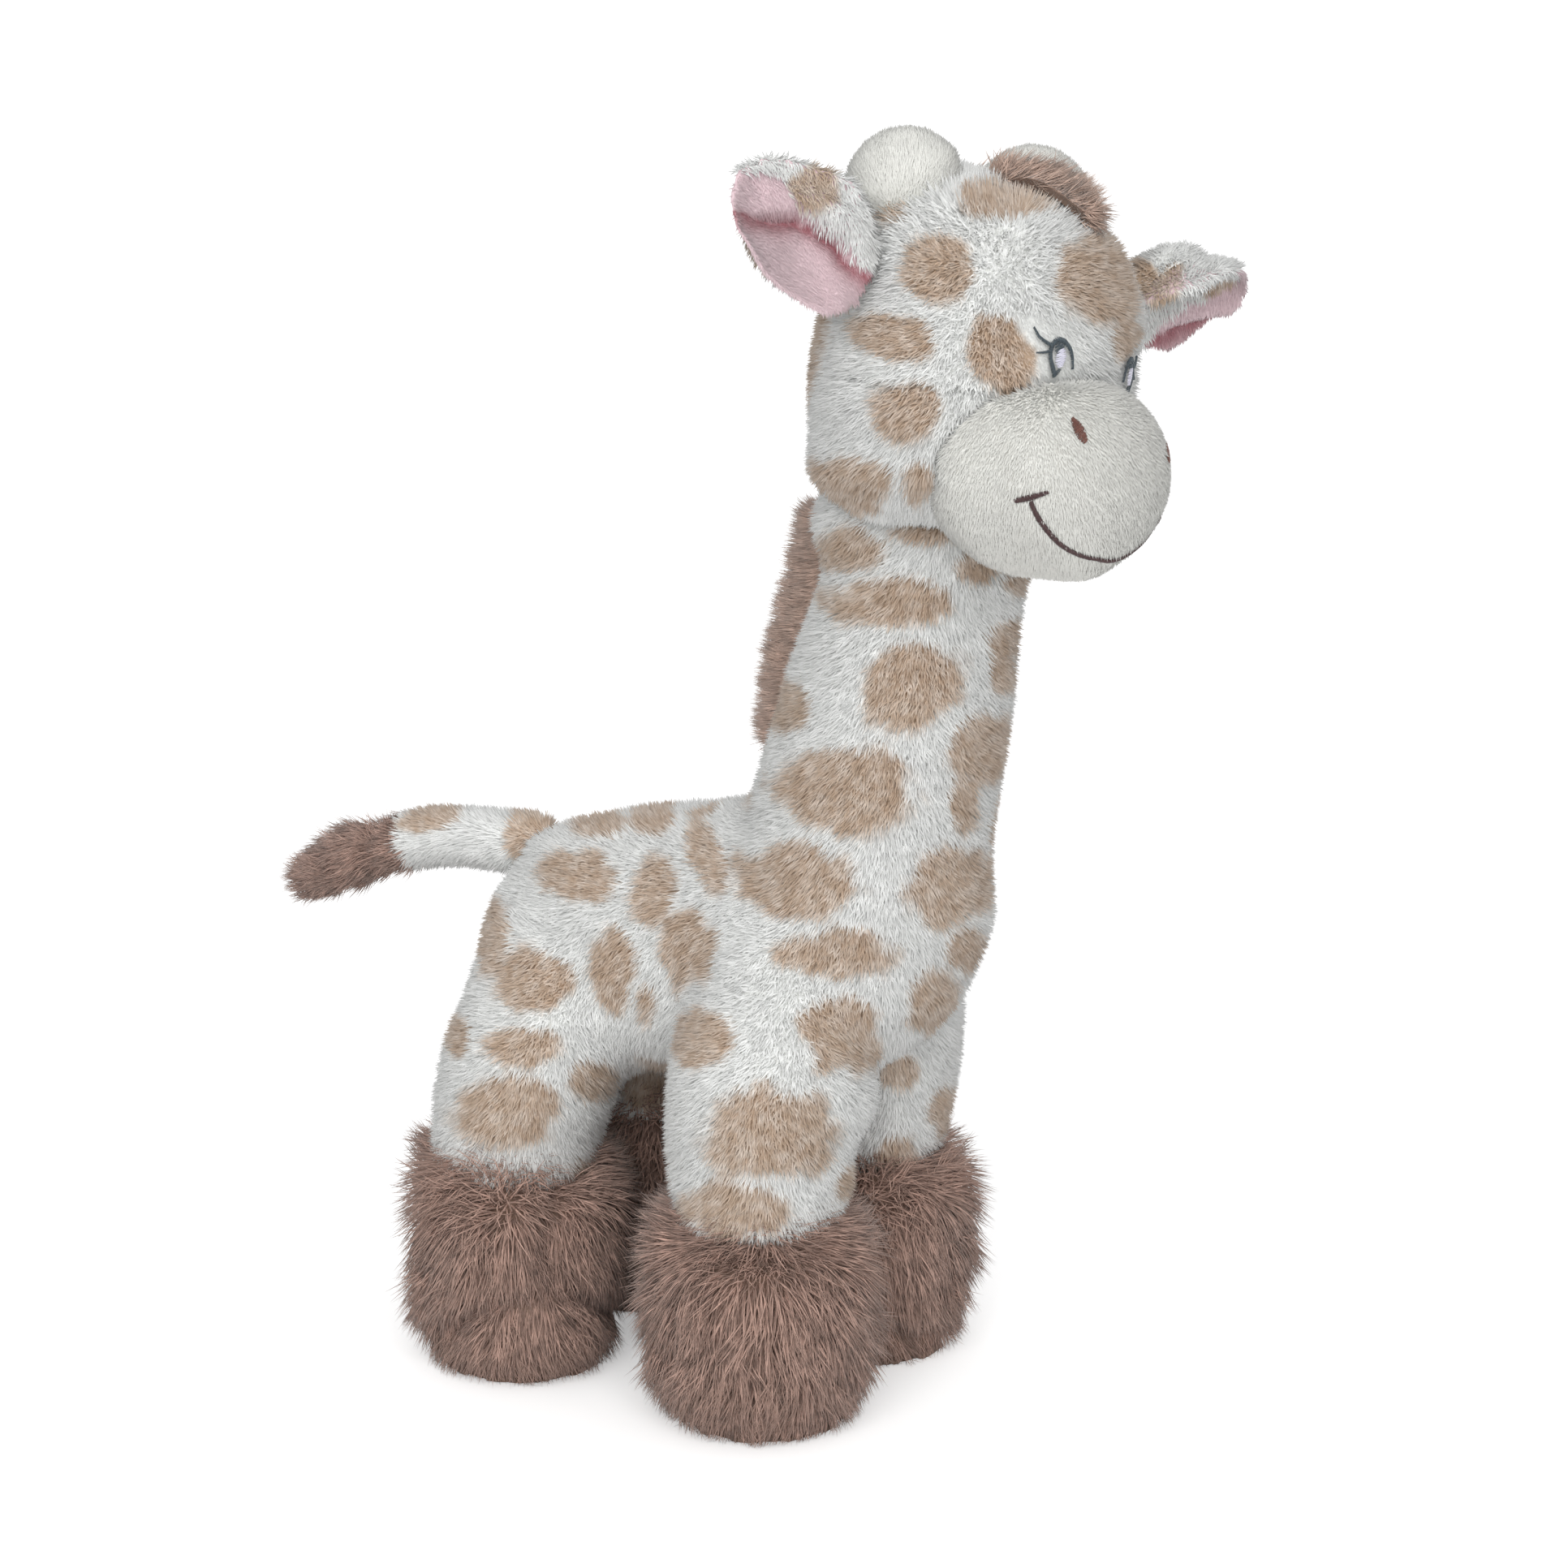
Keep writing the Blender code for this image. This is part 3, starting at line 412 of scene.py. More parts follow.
def sewn_cover(name, nodes, material, body, voxel, inset, smooth, swell=0, flat_below=0,
               rounded=1):
    """One closed sewn form: the nodes remeshed together, drawn in to make room for the
    pile, then filled until it swells back a little."""
    holder = bpy.data.objects.new("holder", joined(nodes))
    SCENE.collection.objects.link(holder)
    remesh = holder.modifiers.new("remesh", "REMESH")
    remesh.mode = "VOXEL"
    remesh.voxel_size = voxel
    soften = holder.modifiers.new("soften", "SMOOTH")
    soften.factor = SOFTEN_FACTOR
    soften.iterations = smooth
    mesh = evaluated_mesh(holder)
    holder.modifiers.clear()
    outer_island(mesh)
    points, normals = points_of(mesh), normals_of(mesh)
    upright = eased(points[:, 2], flat_below, flat_below + FLAT_EASE) if flat_below else 1.0
    normals[:, 2] *= upright
    set_points(mesh, points - inset * normals)
    holder.data = mesh
    if swell:
        holder.data = swollen(holder, swell)
    rounds = holder.modifiers.new("round", "SUBSURF")
    rounds.levels = rounds.render_levels = rounded
    finished = evaluated_mesh(holder)
    bpy.data.objects.remove(holder)
    for polygon in finished.polygons:
        polygon.use_smooth = True
    cover = add_piece(name, finished, material, body)
    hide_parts(*nodes)
    return cover


LEGS = [f"{end}_{side}_leg" for end in ("front", "hind") for side in ("right", "left")]
BOOTS = [f"{end}_{side}" for end in ("front", "hind") for side in ("right", "left")]

body_cover = sewn_cover(
    "body_cover",
    ["torso_skin", "torso_stuffing", "neck_skin", "neck_stuffing"]
    + [f"{leg}_{part}" for leg in LEGS for part in ("skin", "stuffing")],
    SPOTTED_CLOTH, "giraffe", voxel=2.6 * MM, inset=2.6 * MM,
    smooth=6, swell=1.2 * MM, flat_below=50 * MM)
head_cover = sewn_cover(
    "head_cover", ["head_skin", "head_stuffing"],
    SPOTTED_CLOTH, "head", voxel=2.2 * MM, inset=2.4 * MM, smooth=4,
    swell=1 * MM)
muzzle_cover = sewn_cover(
    "muzzle_cover", ["muzzle_skin", "muzzle_stuffing"],
    CREAM_CLOTH, "head", voxel=1.7 * MM, inset=0.7 * MM, smooth=4,
    swell=0.3 * MM)
horn_covers = {}
for side in ("right", "left"):
    horn_covers[side] = sewn_cover(
        f"{side}_horn_cover", [f"{side}_horn_skin", f"{side}_horn_stuffing"],
        CREAM_CLOTH, "head", voxel=1.2 * MM, inset=0.5 * MM,
        smooth=3, swell=0.3 * MM)
tail_cover = sewn_cover(
    "tail_cover", ["tail_skin", "tail_stuffing"],
    SPOTTED_CLOTH, "tail", voxel=1.2 * MM, inset=0.9 * MM, smooth=4,
    swell=0.4 * MM)
boot_covers = {}
for foot in BOOTS:
    boot_covers[foot] = sewn_cover(
        f"{foot}_boot_cover", [f"{foot}_boot", f"{foot}_bean_bag"],
        BROWN_CLOTH, "giraffe", voxel=2.2 * MM, inset=3.5 * MM,
        smooth=4, swell=1 * MM, flat_below=60 * MM, rounded=0)
mane_cover = sewn_cover("mane_cover", ["neck_mane"], BROWN_CLOTH, "giraffe",
                        voxel=1.0 * MM, inset=2.4 * MM, smooth=2)
forelock_cover = sewn_cover("forelock_cover", ["forelock"], BROWN_CLOTH, "head",
                            voxel=1.2 * MM, inset=3 * MM, smooth=2)
tuft_cover = sewn_cover("tuft_cover", ["tail_tuft"], BROWN_CLOTH, "tail",
                        voxel=1.2 * MM, inset=2.4 * MM, smooth=3)
ear_backs, ear_linings = {}, {}
for side in ("right", "left"):
    ear_backs[side] = sewn_cover(
        f"{side}_ear_cover", [f"{side}_ear_back"],
        SPOTTED_CLOTH, f"{side}_ear", voxel=0.7 * MM, inset=0.1 * MM,
        smooth=2, rounded=0)
    ear_linings[side] = sewn_cover(
        f"{side}_ear_velour", [f"{side}_ear_lining"],
        PINK_CLOTH, f"{side}_ear", voxel=0.7 * MM, inset=0.1 * MM,
        smooth=2, rounded=0)

# Settling: where the filling and the seams draw the covers out of their cut shape

# Each pull is a pixel of the photograph, the shift there across and down, and how far it
# reaches, all in pixels.
BODY_PULLS = ((1022, 625, -36, 5, 50), (685, 1030, -22, -6, 38), (715, 1005, -10, -8, 45),
              (600, 1150, -16, 0, 60), (1210, 1140, 15, 0, 60), (1062, 1360, 28, 0, 45),
              (1048, 1464, 18, 0, 40))
HEAD_PULLS = ((1012, 605, -24, 18, 45), (1072, 632, 0, 20, 40), (985, 500, 9, 0, 45),
              (1092, 268, 0, -28, 38), (1160, 245, 0, -14, 34))
NEAR_HORN_PULLS = ((1100, 200, -10, -4, 300),)
FAR_HORN_PULLS = ((1300, 215, -9, -5, 300),)
FORELOCK_PULLS = ((1232, 203, -32, 12, 32), (1320, 235, 8, 15, 45))
MANE_PULLS = ((1000, 650, -8, -26, 60), (950, 770, -4, 0, 60), (930, 860, 8, 12, 60))
TAIL_PULLS = ((520, 1040, 4, -9, 100), (665, 1025, 30, -9, 40))
TUFT_PULLS = ((450, 1110, 8, -24, 45), (420, 1040, 14, -2, 50), (370, 1065, 14, -6, 35))
MUZZLE_PULLS = ((1332, 706, 5, 10, 38),)
FAR_EAR_PULLS = ((1450, 400, 0, 26, 40), (1500, 365, 2, 26, 40), (1550, 325, -2, 8, 35),
                 (1435, 317, -2, 2, 35), (1510, 322, 0, 0, 30))
SEAT_REACH = 6.5 * MM
SEAT_FULL = 3 * MM
SEAT_DEPTH = 2.2 * MM
ROOT_DEPTH = 0.3 * MM
ROOT_FACING = 0.3


def mesh_tree(mesh):
    return BVHTree.FromPolygons([v.co for v in mesh.vertices],
                                [tuple(p.vertices) for p in mesh.polygons])


def tree_of(piece):
    return mesh_tree(piece.data)


def pulled(cover, pulls):
    """Shifts parts of a cover across the view."""
    points = points_of(cover.data)
    pulls = np.array(pulls, float)
    gaps = np.linalg.norm(pixels(points)[:, None] - pulls[None, :, :2], axis=2)
    share = np.exp(-(gaps / pulls[:, 4]) ** 2)
    share /= np.maximum(1, share.sum(1, keepdims=True))
    across, down = (share @ pulls[:, 2:4]).T[:, :, None] / PIXELS_PER_METRE
    set_points(cover.data, points + across * RIGHT - down * UP)


def seated(cover, surface):
    """Draws the foot of a form in to the cloth that it is sewn to."""
    points = points_of(cover.data)
    for index, point in enumerate(points):
        _, out, _, gap = surface.find_nearest(Vector(point))
        points[index] = point - np.array(out) * SEAT_DEPTH * eased(gap, SEAT_REACH, SEAT_FULL)
    set_points(cover.data, points)


def rooted(cover, surface):
    """Draws the underside of a strip in to the cloth that it is sewn to. Its crest stays."""
    points, normals = points_of(cover.data), normals_of(cover.data)
    for index, point in enumerate(points):
        _, out, _, gap = surface.find_nearest(Vector(point))
        under = eased(normals[index] @ np.array(out), ROOT_FACING, -ROOT_FACING)
        points[index] = point - np.array(out) * (gap + ROOT_DEPTH) * under
    set_points(cover.data, points)


for cover, pulls in (
    (body_cover, BODY_PULLS), (head_cover, HEAD_PULLS), (muzzle_cover, MUZZLE_PULLS),
    (horn_covers["right"], NEAR_HORN_PULLS),
    (horn_covers["left"], FAR_HORN_PULLS), (forelock_cover, FORELOCK_PULLS),
    (mane_cover, MANE_PULLS), (tail_cover, TAIL_PULLS), (tuft_cover, TUFT_PULLS),
):
    pulled(cover, pulls)
for side in ("right", "left"):
    seated(horn_covers[side], tree_of(head_cover))
rooted(mane_cover, tree_of(body_cover))

# Dyed patches, and one thin band of painted shade at the neck seam: photographed ones by the
# photograph's pixels, others strewn

# Each patch is its middle across and down, half its width, half its height and its slant in
# degrees, in pixels of the photograph.
HEAD_PATCHES = (
    (1003, 235, 30, 28, 0), (1100, 252, 32, 22, 40), (1235, 258, 55, 18, 0),
    (1160, 328, 48, 45, 0), (1350, 345, 62, 52, 20), (1378, 415, 18, 34, 0),
    (1110, 415, 52, 33, 10), (1232, 435, 38, 55, -30), (1118, 505, 42, 40, 0),
    (1050, 588, 48, 38, 0), (1006, 505, 16, 30, 0), (1135, 590, 18, 25, 0),
)
BODY_PATCHES = (
    (1055, 672, 45, 30, 0), (1200, 690, 24, 20, 0), (1245, 712, 16, 14, 0),
    (1100, 738, 80, 33, 0), (1125, 842, 68, 58, 0), (978, 865, 28, 35, 0),
    (1230, 780, 20, 30, 0), (1226, 822, 14, 30, 0), (1205, 915, 42, 50, 0),
    (1182, 985, 18, 40, 0), (1216, 1000, 15, 40, 0), (1047, 968, 85, 58, 0),
    (928, 960, 16, 35, 0), (985, 1080, 78, 50, 0), (1168, 1085, 58, 56, 0),
    (1028, 1170, 78, 32, 0), (1186, 1160, 28, 30, 0), (880, 1058, 22, 48, -20),
    (812, 1092, 32, 48, 20), (855, 1168, 37, 50, 0), (868, 1276, 45, 37, 0),
    (1035, 1268, 52, 52, 0), (1146, 1225, 36, 45, 0), (1105, 1312, 22, 28, 0),
    (722, 1080, 52, 32, 0), (745, 1022, 38, 16, 0), (810, 1014, 30, 20, 0),
    (870, 1000, 25, 18, 0), (760, 1190, 28, 48, 0), (660, 1208, 50, 45, 0),
    (648, 1288, 48, 25, 0), (616, 1150, 20, 55, 0), (574, 1275, 15, 30, 0),
    (800, 1230, 12, 30, 0), (948, 1392, 82, 58, 0), (905, 1483, 68, 35, 0),
    (1045, 1450, 25, 25, 0), (832, 1345, 12, 35, 0), (628, 1365, 62, 45, 0),
    (728, 1325, 30, 25, 0), (1158, 1362, 25, 32, 0), (1100, 1425, 28, 36, 0), (798, 1335, 32, 30, 0),
    # Painted shade: this last thin patch darkens the head and neck seam, where the puckered fur
    # shades it.
    (1135, 655, 40, 9, 5),
)
TAIL_PATCHES = ((655, 1028, 28, 34, 0), (535, 1012, 45, 14, -10))
NEAR_EAR_PATCHES = ((1003, 232, 36, 29, 0),)
FAR_EAR_PATCHES = ((1430, 345, 28, 42, 0), (1500, 345, 25, 20, 0))
PATCH_WAVER = 0.28
PATCH_WAVE = 7 * MM
STREWN_APART = 27 * MM
STREWN_SMALL = 8 * MM
STREWN_LARGE = 13.5 * MM
STREWN_TRIES = 4000
STREWN_STRETCH = 0.35
STREWN_FACING = (-0.2, 0.2)
PATCH_EDGE = (1.08, 0.78)
PATCH_REACH = 1.6
PATCH_MARGIN = 4 * MM
SEEN_FACING = (-0.35, -0.1)
HIDDEN_FACING = 0.02


def waver(points, size, seed):
    """A slow noise from about -1 to 1 at each point."""
    offset = Vector((seed, seed, seed))
    return np.array([noise.noise(Vector(point) / size + offset) for point in points])


def dye_patches(cover, patches, strewn, seed):
    """Writes the patch attribute: photographed patches on the side that the camera sees, and strewn
    ones wherever it doesn't see. On the ear linings the same attribute later carries painted crease
    shade."""
    mesh = cover.data
    points, normals = points_of(mesh), normals_of(mesh)
    at = pixels(points)
    facing = normals @ BACK
    wave = waver(points, PATCH_WAVE, seed) + 0.5 * waver(points, PATCH_WAVE / 2.5, seed + 5)
    dye_and_crease_shade = np.zeros(len(points))
    surface = tree_of(cover)
    middles = []
    for across, down, half_width, half_height, slant in patches:
        hit, _, _, _ = surface.ray_cast(Vector(EYE_POINT), sight(across, down))
        if hit is None:
            hit, _, _, _ = surface.find_nearest(
                Vector(EYE_POINT) + sight(across, down) * CAMERA_DISTANCE)
        middle = np.array(hit)
        middles.append(middle)
        turn = math.radians(slant)
        aside, below = at[:, 0] - across, at[:, 1] - down
        along = (aside * math.cos(turn) + below * math.sin(turn)) / half_width
        athwart = (below * math.cos(turn) - aside * math.sin(turn)) / half_height
        reach = np.sqrt(along ** 2 + athwart ** 2) + PATCH_WAVER * wave
        limit = PATCH_REACH * max(half_width, half_height) / PIXELS_PER_METRE + PATCH_MARGIN
        near = eased(np.linalg.norm(points - middle, axis=1), limit, 0.8 * limit)
        amount = eased(reach, *PATCH_EDGE) * near * eased(facing, *SEEN_FACING)
        dye_and_crease_shade = np.maximum(dye_and_crease_shade, amount)
    chance = np.random.default_rng(seed)
    hidden = np.flatnonzero(facing < HIDDEN_FACING)
    for index in chance.permutation(hidden)[:STREWN_TRIES] if strewn else ():
        middle = points[index]
        if middles and min(np.linalg.norm(middle - other) for other in middles) < STREWN_APART:
            continue
        middles.append(middle)
        radius = chance.uniform(STREWN_SMALL, STREWN_LARGE)
        stretch = unit(np.cross(normals[index], chance.normal(size=3)))
        away = points - middle
        away = away - STREWN_STRETCH * (away @ stretch)[:, None] * stretch
        reach = np.linalg.norm(away, axis=1) / radius + PATCH_WAVER * wave
        level = eased(normals @ normals[index], *STREWN_FACING)
        dye_and_crease_shade = np.maximum(dye_and_crease_shade, eased(reach, *PATCH_EDGE) * level)
    set_attribute(mesh, "dye_and_crease_shade", dye_and_crease_shade)


dye_patches(body_cover, BODY_PATCHES, True, 11)
dye_patches(head_cover, HEAD_PATCHES, True, 12)
dye_patches(tail_cover, TAIL_PATCHES, True, 13)
dye_patches(ear_backs["right"], NEAR_EAR_PATCHES, True, 14)
dye_patches(ear_backs["left"], FAR_EAR_PATCHES, True, 15)

# Ears: folded along their length, with the fur rolled over the top edge

# Pixels of the photograph round the near ear's lining, along the crease in each ear, and round
# the fur on its front.
NEAR_EAR_OUTLINE = ((893, 240), (905, 204), (938, 190), (976, 197), (1022, 214), (1050, 226),
                    (1068, 255), (1078, 300), (1076, 340), (1062, 372), (1040, 388),
                    (1014, 389), (990, 377), (961, 361), (935, 340), (918, 314), (903, 288),
                    (895, 262), (893, 240))
OUTLINE_STEPS = 48
NEAR_EAR_CREASE = ((910, 259), (930, 266), (960, 270), (985, 268), (1010, 280), (1035, 298),
                   (1045, 315), (1060, 330), (1078, 342))
FAR_EAR_CREASE = ((1418, 416), (1440, 408), (1465, 399), (1490, 394), (1515, 392))
NEAR_EAR_FUR = ((870, 170), (903, 212), (925, 209), (955, 211), (966, 226), (976, 241),
                (990, 255), (1005, 265), (1020, 277), (1038, 292), (1050, 306), (1065, 326),
                (1085, 345), (1120, 345), (1120, 170))
FAR_EAR_FUR = ((1385, 280), (1570, 280), (1546, 316), (1523, 330), (1518, 346), (1490, 362),
               (1460, 375), (1428, 398), (1412, 420), (1385, 440))
EAR_BACK_LENGTH_SHARE = 0.84
EAR_BACK_WIDTH_SHARE = 0.74
EAR_LAYERS_APART = 0.2 * MM
CUP_TAKEN_OUT = {"right": 0.6, "left": 0}
CREASE_DEPTH = 2 * MM
CREASE_WIDTHS = (3 * MM, 1.2 * MM)
# Painted shade along each crease: its widths below and above the line.
CREASE_SHADE_WIDTHS = (3.4 * MM, 0.8 * MM)
CREASE_STARTS_OVER = 24
ROLL_HEIGHT = 2 * MM
ROLL_AWAY = 4 * MM
ROLL_WIDTH = 3.2 * MM
EAR_RIM = 16
# How strong the painted crease shade is above and below the line.
CREASE_SHADE_ABOVE = 0.4
CREASE_SHADE_BELOW = 1.0
FREE_OF_ROOT = 9 * MM
PATH_STEP = 2


def along_pixels(path):
    """The rows of a path, which start with a pixel, with rows added every few pixels."""
    path = np.array(path, float)
    lengths = np.concatenate([[0], np.cumsum(np.linalg.norm(np.diff(path[:, :2], axis=0),
                                                            axis=1))])
    at = np.linspace(0, lengths[-1], max(2, math.ceil(lengths[-1] / PATH_STEP) + 1))
    return np.stack([np.interp(at, lengths, path[:, k]) for k in range(path.shape[1])], 1)


def cast_path(surface, path):
    """Where the sight lines through the pixels of a path meet a surface."""
    found, outs, kept = [], [], []
    for row in along_pixels(path):
        hit, out, _, _ = surface.ray_cast(Vector(EYE_POINT), sight(row[0], row[1]))
        if hit is not None:
            found.append(hit)
            outs.append(out)
            kept.append(row)
    return np.array(found), np.array(outs), np.array(kept)


def inside_outline(at, outline):
    """Which pixels are inside a closed outline of pixels."""
    inside = np.zeros(len(at), bool)
    for (x0, y0), (x1, y1) in zip(outline, outline[1:] + outline[:1]):
        if y0 == y1:
            continue
        crosses = (at[:, 1] > y0) != (at[:, 1] > y1)
        inside ^= crosses & (at[:, 0] < x0 + (at[:, 1] - y0) * (x1 - x0) / (y1 - y0))
    return inside


def nearest_of(points, others):
    """For each point, the nearest of some others: how far, and which."""
    gaps = np.linalg.norm(points[:, None, :] - others[None, :, :], axis=2)
    return gaps.min(1), gaps.argmin(1)


def heights_on(surface, points, front):
    """How far to the front a surface is, seen from behind, at each point's place."""
    heights = []
    for point in points:
        hit, _, _, _ = surface.ray_cast(Vector(point - CAMERA_DISTANCE * front), Vector(front))
        if hit is None:
            hit, _, _, _ = surface.find_nearest(Vector(point))
        heights.append(np.array(hit) @ front)
    return np.array(heights)


def flatten_cup(layers, root, front, share):
    """Takes a share of the cup out of an ear, where its own weight opens it."""
    along = unit(np.cross(front, UP))
    across = np.cross(front, along)

    def terms(points):
        x, y = (points - root) @ along, (points - root) @ across
        return np.stack([np.ones(len(x)), x, y, x * x, x * y, y * y], 1)

    points = points_of(layers[1].data)
    fit = np.linalg.lstsq(terms(points), (points - root) @ front, rcond=None)[0]
    fit[:3] = 0
    for layer in layers:
        points = points_of(layer.data)
        set_points(layer.data, points - share * (terms(points) @ fit)[:, None] * front)


def radii_at(angles, at, middle):
    """How far an outline of pixels lies from its middle, at some angles."""
    out = at - middle
    turns = np.arctan2(out[:, 1], out[:, 0])
    ordered = np.argsort(turns)
    return np.interp(angles, turns[ordered], np.linalg.norm(out, axis=1)[ordered],
                     period=2 * math.pi)


def fit_to_outline(layers, outline):
    """Draws an ear evenly out or in from its middle, till its lining has an outline."""
    outline = along_pixels(outline)
    middle = outline.mean(0)
    out = pixels(points_of(layers[1].data)) - middle
    turns = np.arctan2(out[:, 1], out[:, 0])
    steps = np.linspace(-math.pi, math.pi, OUTLINE_STEPS, endpoint=False) + math.pi / OUTLINE_STEPS
    reach = np.linalg.norm(out, axis=1)
    own = np.array([reach[np.abs(turns - step) <= math.pi / OUTLINE_STEPS].max() for step in steps])
    for layer in layers:
        points = points_of(layer.data)
        out = pixels(points) - middle
        turns = np.arctan2(out[:, 1], out[:, 0])
        share = (radii_at(turns, outline, middle)
                 / np.interp(turns, steps, own, period=2 * math.pi))
        shift = (share - 1)[:, None] * out / PIXELS_PER_METRE
        set_points(layer.data, points + shift[:, :1] * RIGHT - shift[:, 1:] * UP)


def draw_in_back(layers, root, front):
    """Makes the back of an ear a little smaller than its lining, still laid against it."""
    surface = tree_of(layers[1])
    points = points_of(layers[0].data)
    middle = points.mean(0)
    along = middle - root
    along = unit(along - (along @ front) * front)
    across = np.cross(front, along)
    shift = ((EAR_BACK_LENGTH_SHARE - 1) * ((points - root) @ along)[:, None] * along
             + (EAR_BACK_WIDTH_SHARE - 1) * ((points - middle) @ across)[:, None] * across)
    rise = heights_on(surface, points + shift, front) - heights_on(surface, points, front)
    set_points(layers[0].data, points + shift + (rise - EAR_LAYERS_APART)[:, None] * front)


def fold_ear(side, crease, outline=(), pulls=()):
    """Fits both layers of an ear to the photograph, presses a crease into them and lifts the
    roll above it. Returns the ear's front and, for the lining, how far each point is from the
    crease and whether it is above."""
    root = np.array(next(j for j in frame["joints"] if j["name"] == f"{side}_ear_fold")["pos_m"])
    layers = (ear_backs[side], ear_linings[side])
    middles = [points_of(layer.data).mean(0) for layer in layers]
    front = unit(middles[1] - middles[0])
    flatten_cup(layers, root, front, CUP_TAKEN_OUT[side])
    if outline:
        fit_to_outline(layers, outline)
    else:
        for layer in layers:
            pulled(layer, pulls)
    draw_in_back(layers, root, front)
    line = along_pixels(crease)
    for layer in layers:
        points = points_of(layer.data)
        at = pixels(points)
        gap, nearest = nearest_of(at, line)
        gap = gap / PIXELS_PER_METRE
        over = at[:, 1] < line[nearest, 1]
        width = np.where(over, CREASE_WIDTHS[1], CREASE_WIDTHS[0])
        fold = (ROLL_HEIGHT * np.exp(-((gap - ROLL_AWAY) / ROLL_WIDTH) ** 2) * over
                - CREASE_DEPTH * np.exp(-(gap / width) ** 2))
        fold *= eased(np.linalg.norm(points - root, axis=1), 0, FREE_OF_ROOT)
        fold *= eased(nearest, 0, CREASE_STARTS_OVER)
        set_points(layer.data, points + fold[:, None] * front)
    return front, gap, over


ear_folds = {"right": fold_ear("right", NEAR_EAR_CREASE, outline=NEAR_EAR_OUTLINE),
             "left": fold_ear("left", FAR_EAR_CREASE, pulls=FAR_EAR_PULLS)}

# Embroidery: satin stitches along lines on the face

# Each line is points of the photograph: across, down and how wide the stitches are, all in
# pixels. The left half of the face is the right half mirrored in the middle of the head.
SMILE_LINE = ((1270, 617, 6), (1274, 627, 7), (1280, 638, 7), (1287.5, 649, 7),
              (1296.5, 659.5, 7), (1306, 668.5, 7), (1318, 676.5, 6.5), (1330, 682, 6.5),
              (1342.5, 685.5, 6), (1355, 687, 6), (1366, 686.6, 5.5))
SMILE_END_LINE = ((1252.5, 616, 6), (1262, 613.5, 8), (1275, 610.5, 8), (1290.5, 605.5, 5))
NOSTRIL_LINE = ((1320, 517, 5), (1324, 524, 12), (1328, 531, 16), (1332, 538, 15),
                (1336, 544, 8))
EYE_LINES = (
    ((1315.6, 453, 4), (1315.5, 440, 5), (1313, 429, 6), (1307, 420.5, 7), (1299.5, 418, 7),
     (1293, 424, 6.5), (1290, 433, 6), (1290, 443, 6), (1292.5, 452, 6.5), (1295, 461, 7)),
    ((1295, 460, 7), (1301, 455, 4)),
    ((1300, 422, 10), (1301.5, 429, 16), (1302.5, 432, 14)),
    ((1271, 404, 3), (1276, 415, 4.5), (1283, 421, 5), (1291, 425.5, 5)),
    ((1273, 435, 2.5), (1281, 435, 3.5), (1290, 433, 4)),
)
EYE_LIGHT_LINE = ((1302.5, 431, 8), (1302.5, 436, 14), (1302, 441, 16), (1301.5, 446, 14),
                  (1301.5, 451, 8))
STITCH_PITCH = 0.3 * MM
STITCH_THICKNESS = 0.17 * MM
STITCH_ARCH = 0.28 * MM
STITCH_SLANT = math.radians(20)
ON_MUZZLE = 0.75 * MM
ON_HEAD = 1.6 * MM
LIGHT_OVER_EYE = 0.25 * MM
FAR_EYE_ASIDE = 4.8 * MM
FAR_NOSTRIL_ASIDE = 2.5 * MM

SCRATCH = bpy.data.collections.new("templates")


def stitch_template():
    """One thread of a stitch, a metre long before it is scaled, arched over the cloth."""
    shape = bmesh.new()
    rings = []
    steps, sides = 5, 5
    for step in range(steps + 1):
        share = step / steps
        height = STITCH_ARCH * math.sin(math.pi * share) - STITCH_ARCH / 2
        size = STITCH_THICKNESS * (0.6 + 0.4 * math.sin(math.pi * share))
        rings.append([shape.verts.new((share - 0.5,
                                       size * math.cos(side * math.tau / sides),
                                       height + size * math.sin(side * math.tau / sides)))
                      for side in range(sides)])
    for low, high in zip(rings, rings[1:]):
        for side in range(sides):
            after = (side + 1) % sides
            shape.faces.new((low[side], low[after], high[after], high[side]))
    shape.faces.new(rings[0][::-1])
    shape.faces.new(rings[-1])
    bmesh.ops.recalc_face_normals(shape, faces=shape.faces)
    for face in shape.faces:
        face.smooth = True
    mesh = bpy.data.meshes.new("stitch")
    shape.to_mesh(mesh)
    shape.free()
    template = bpy.data.objects.new("stitch", mesh)
    SCRATCH.objects.link(template)
    return template


STITCH = stitch_template()


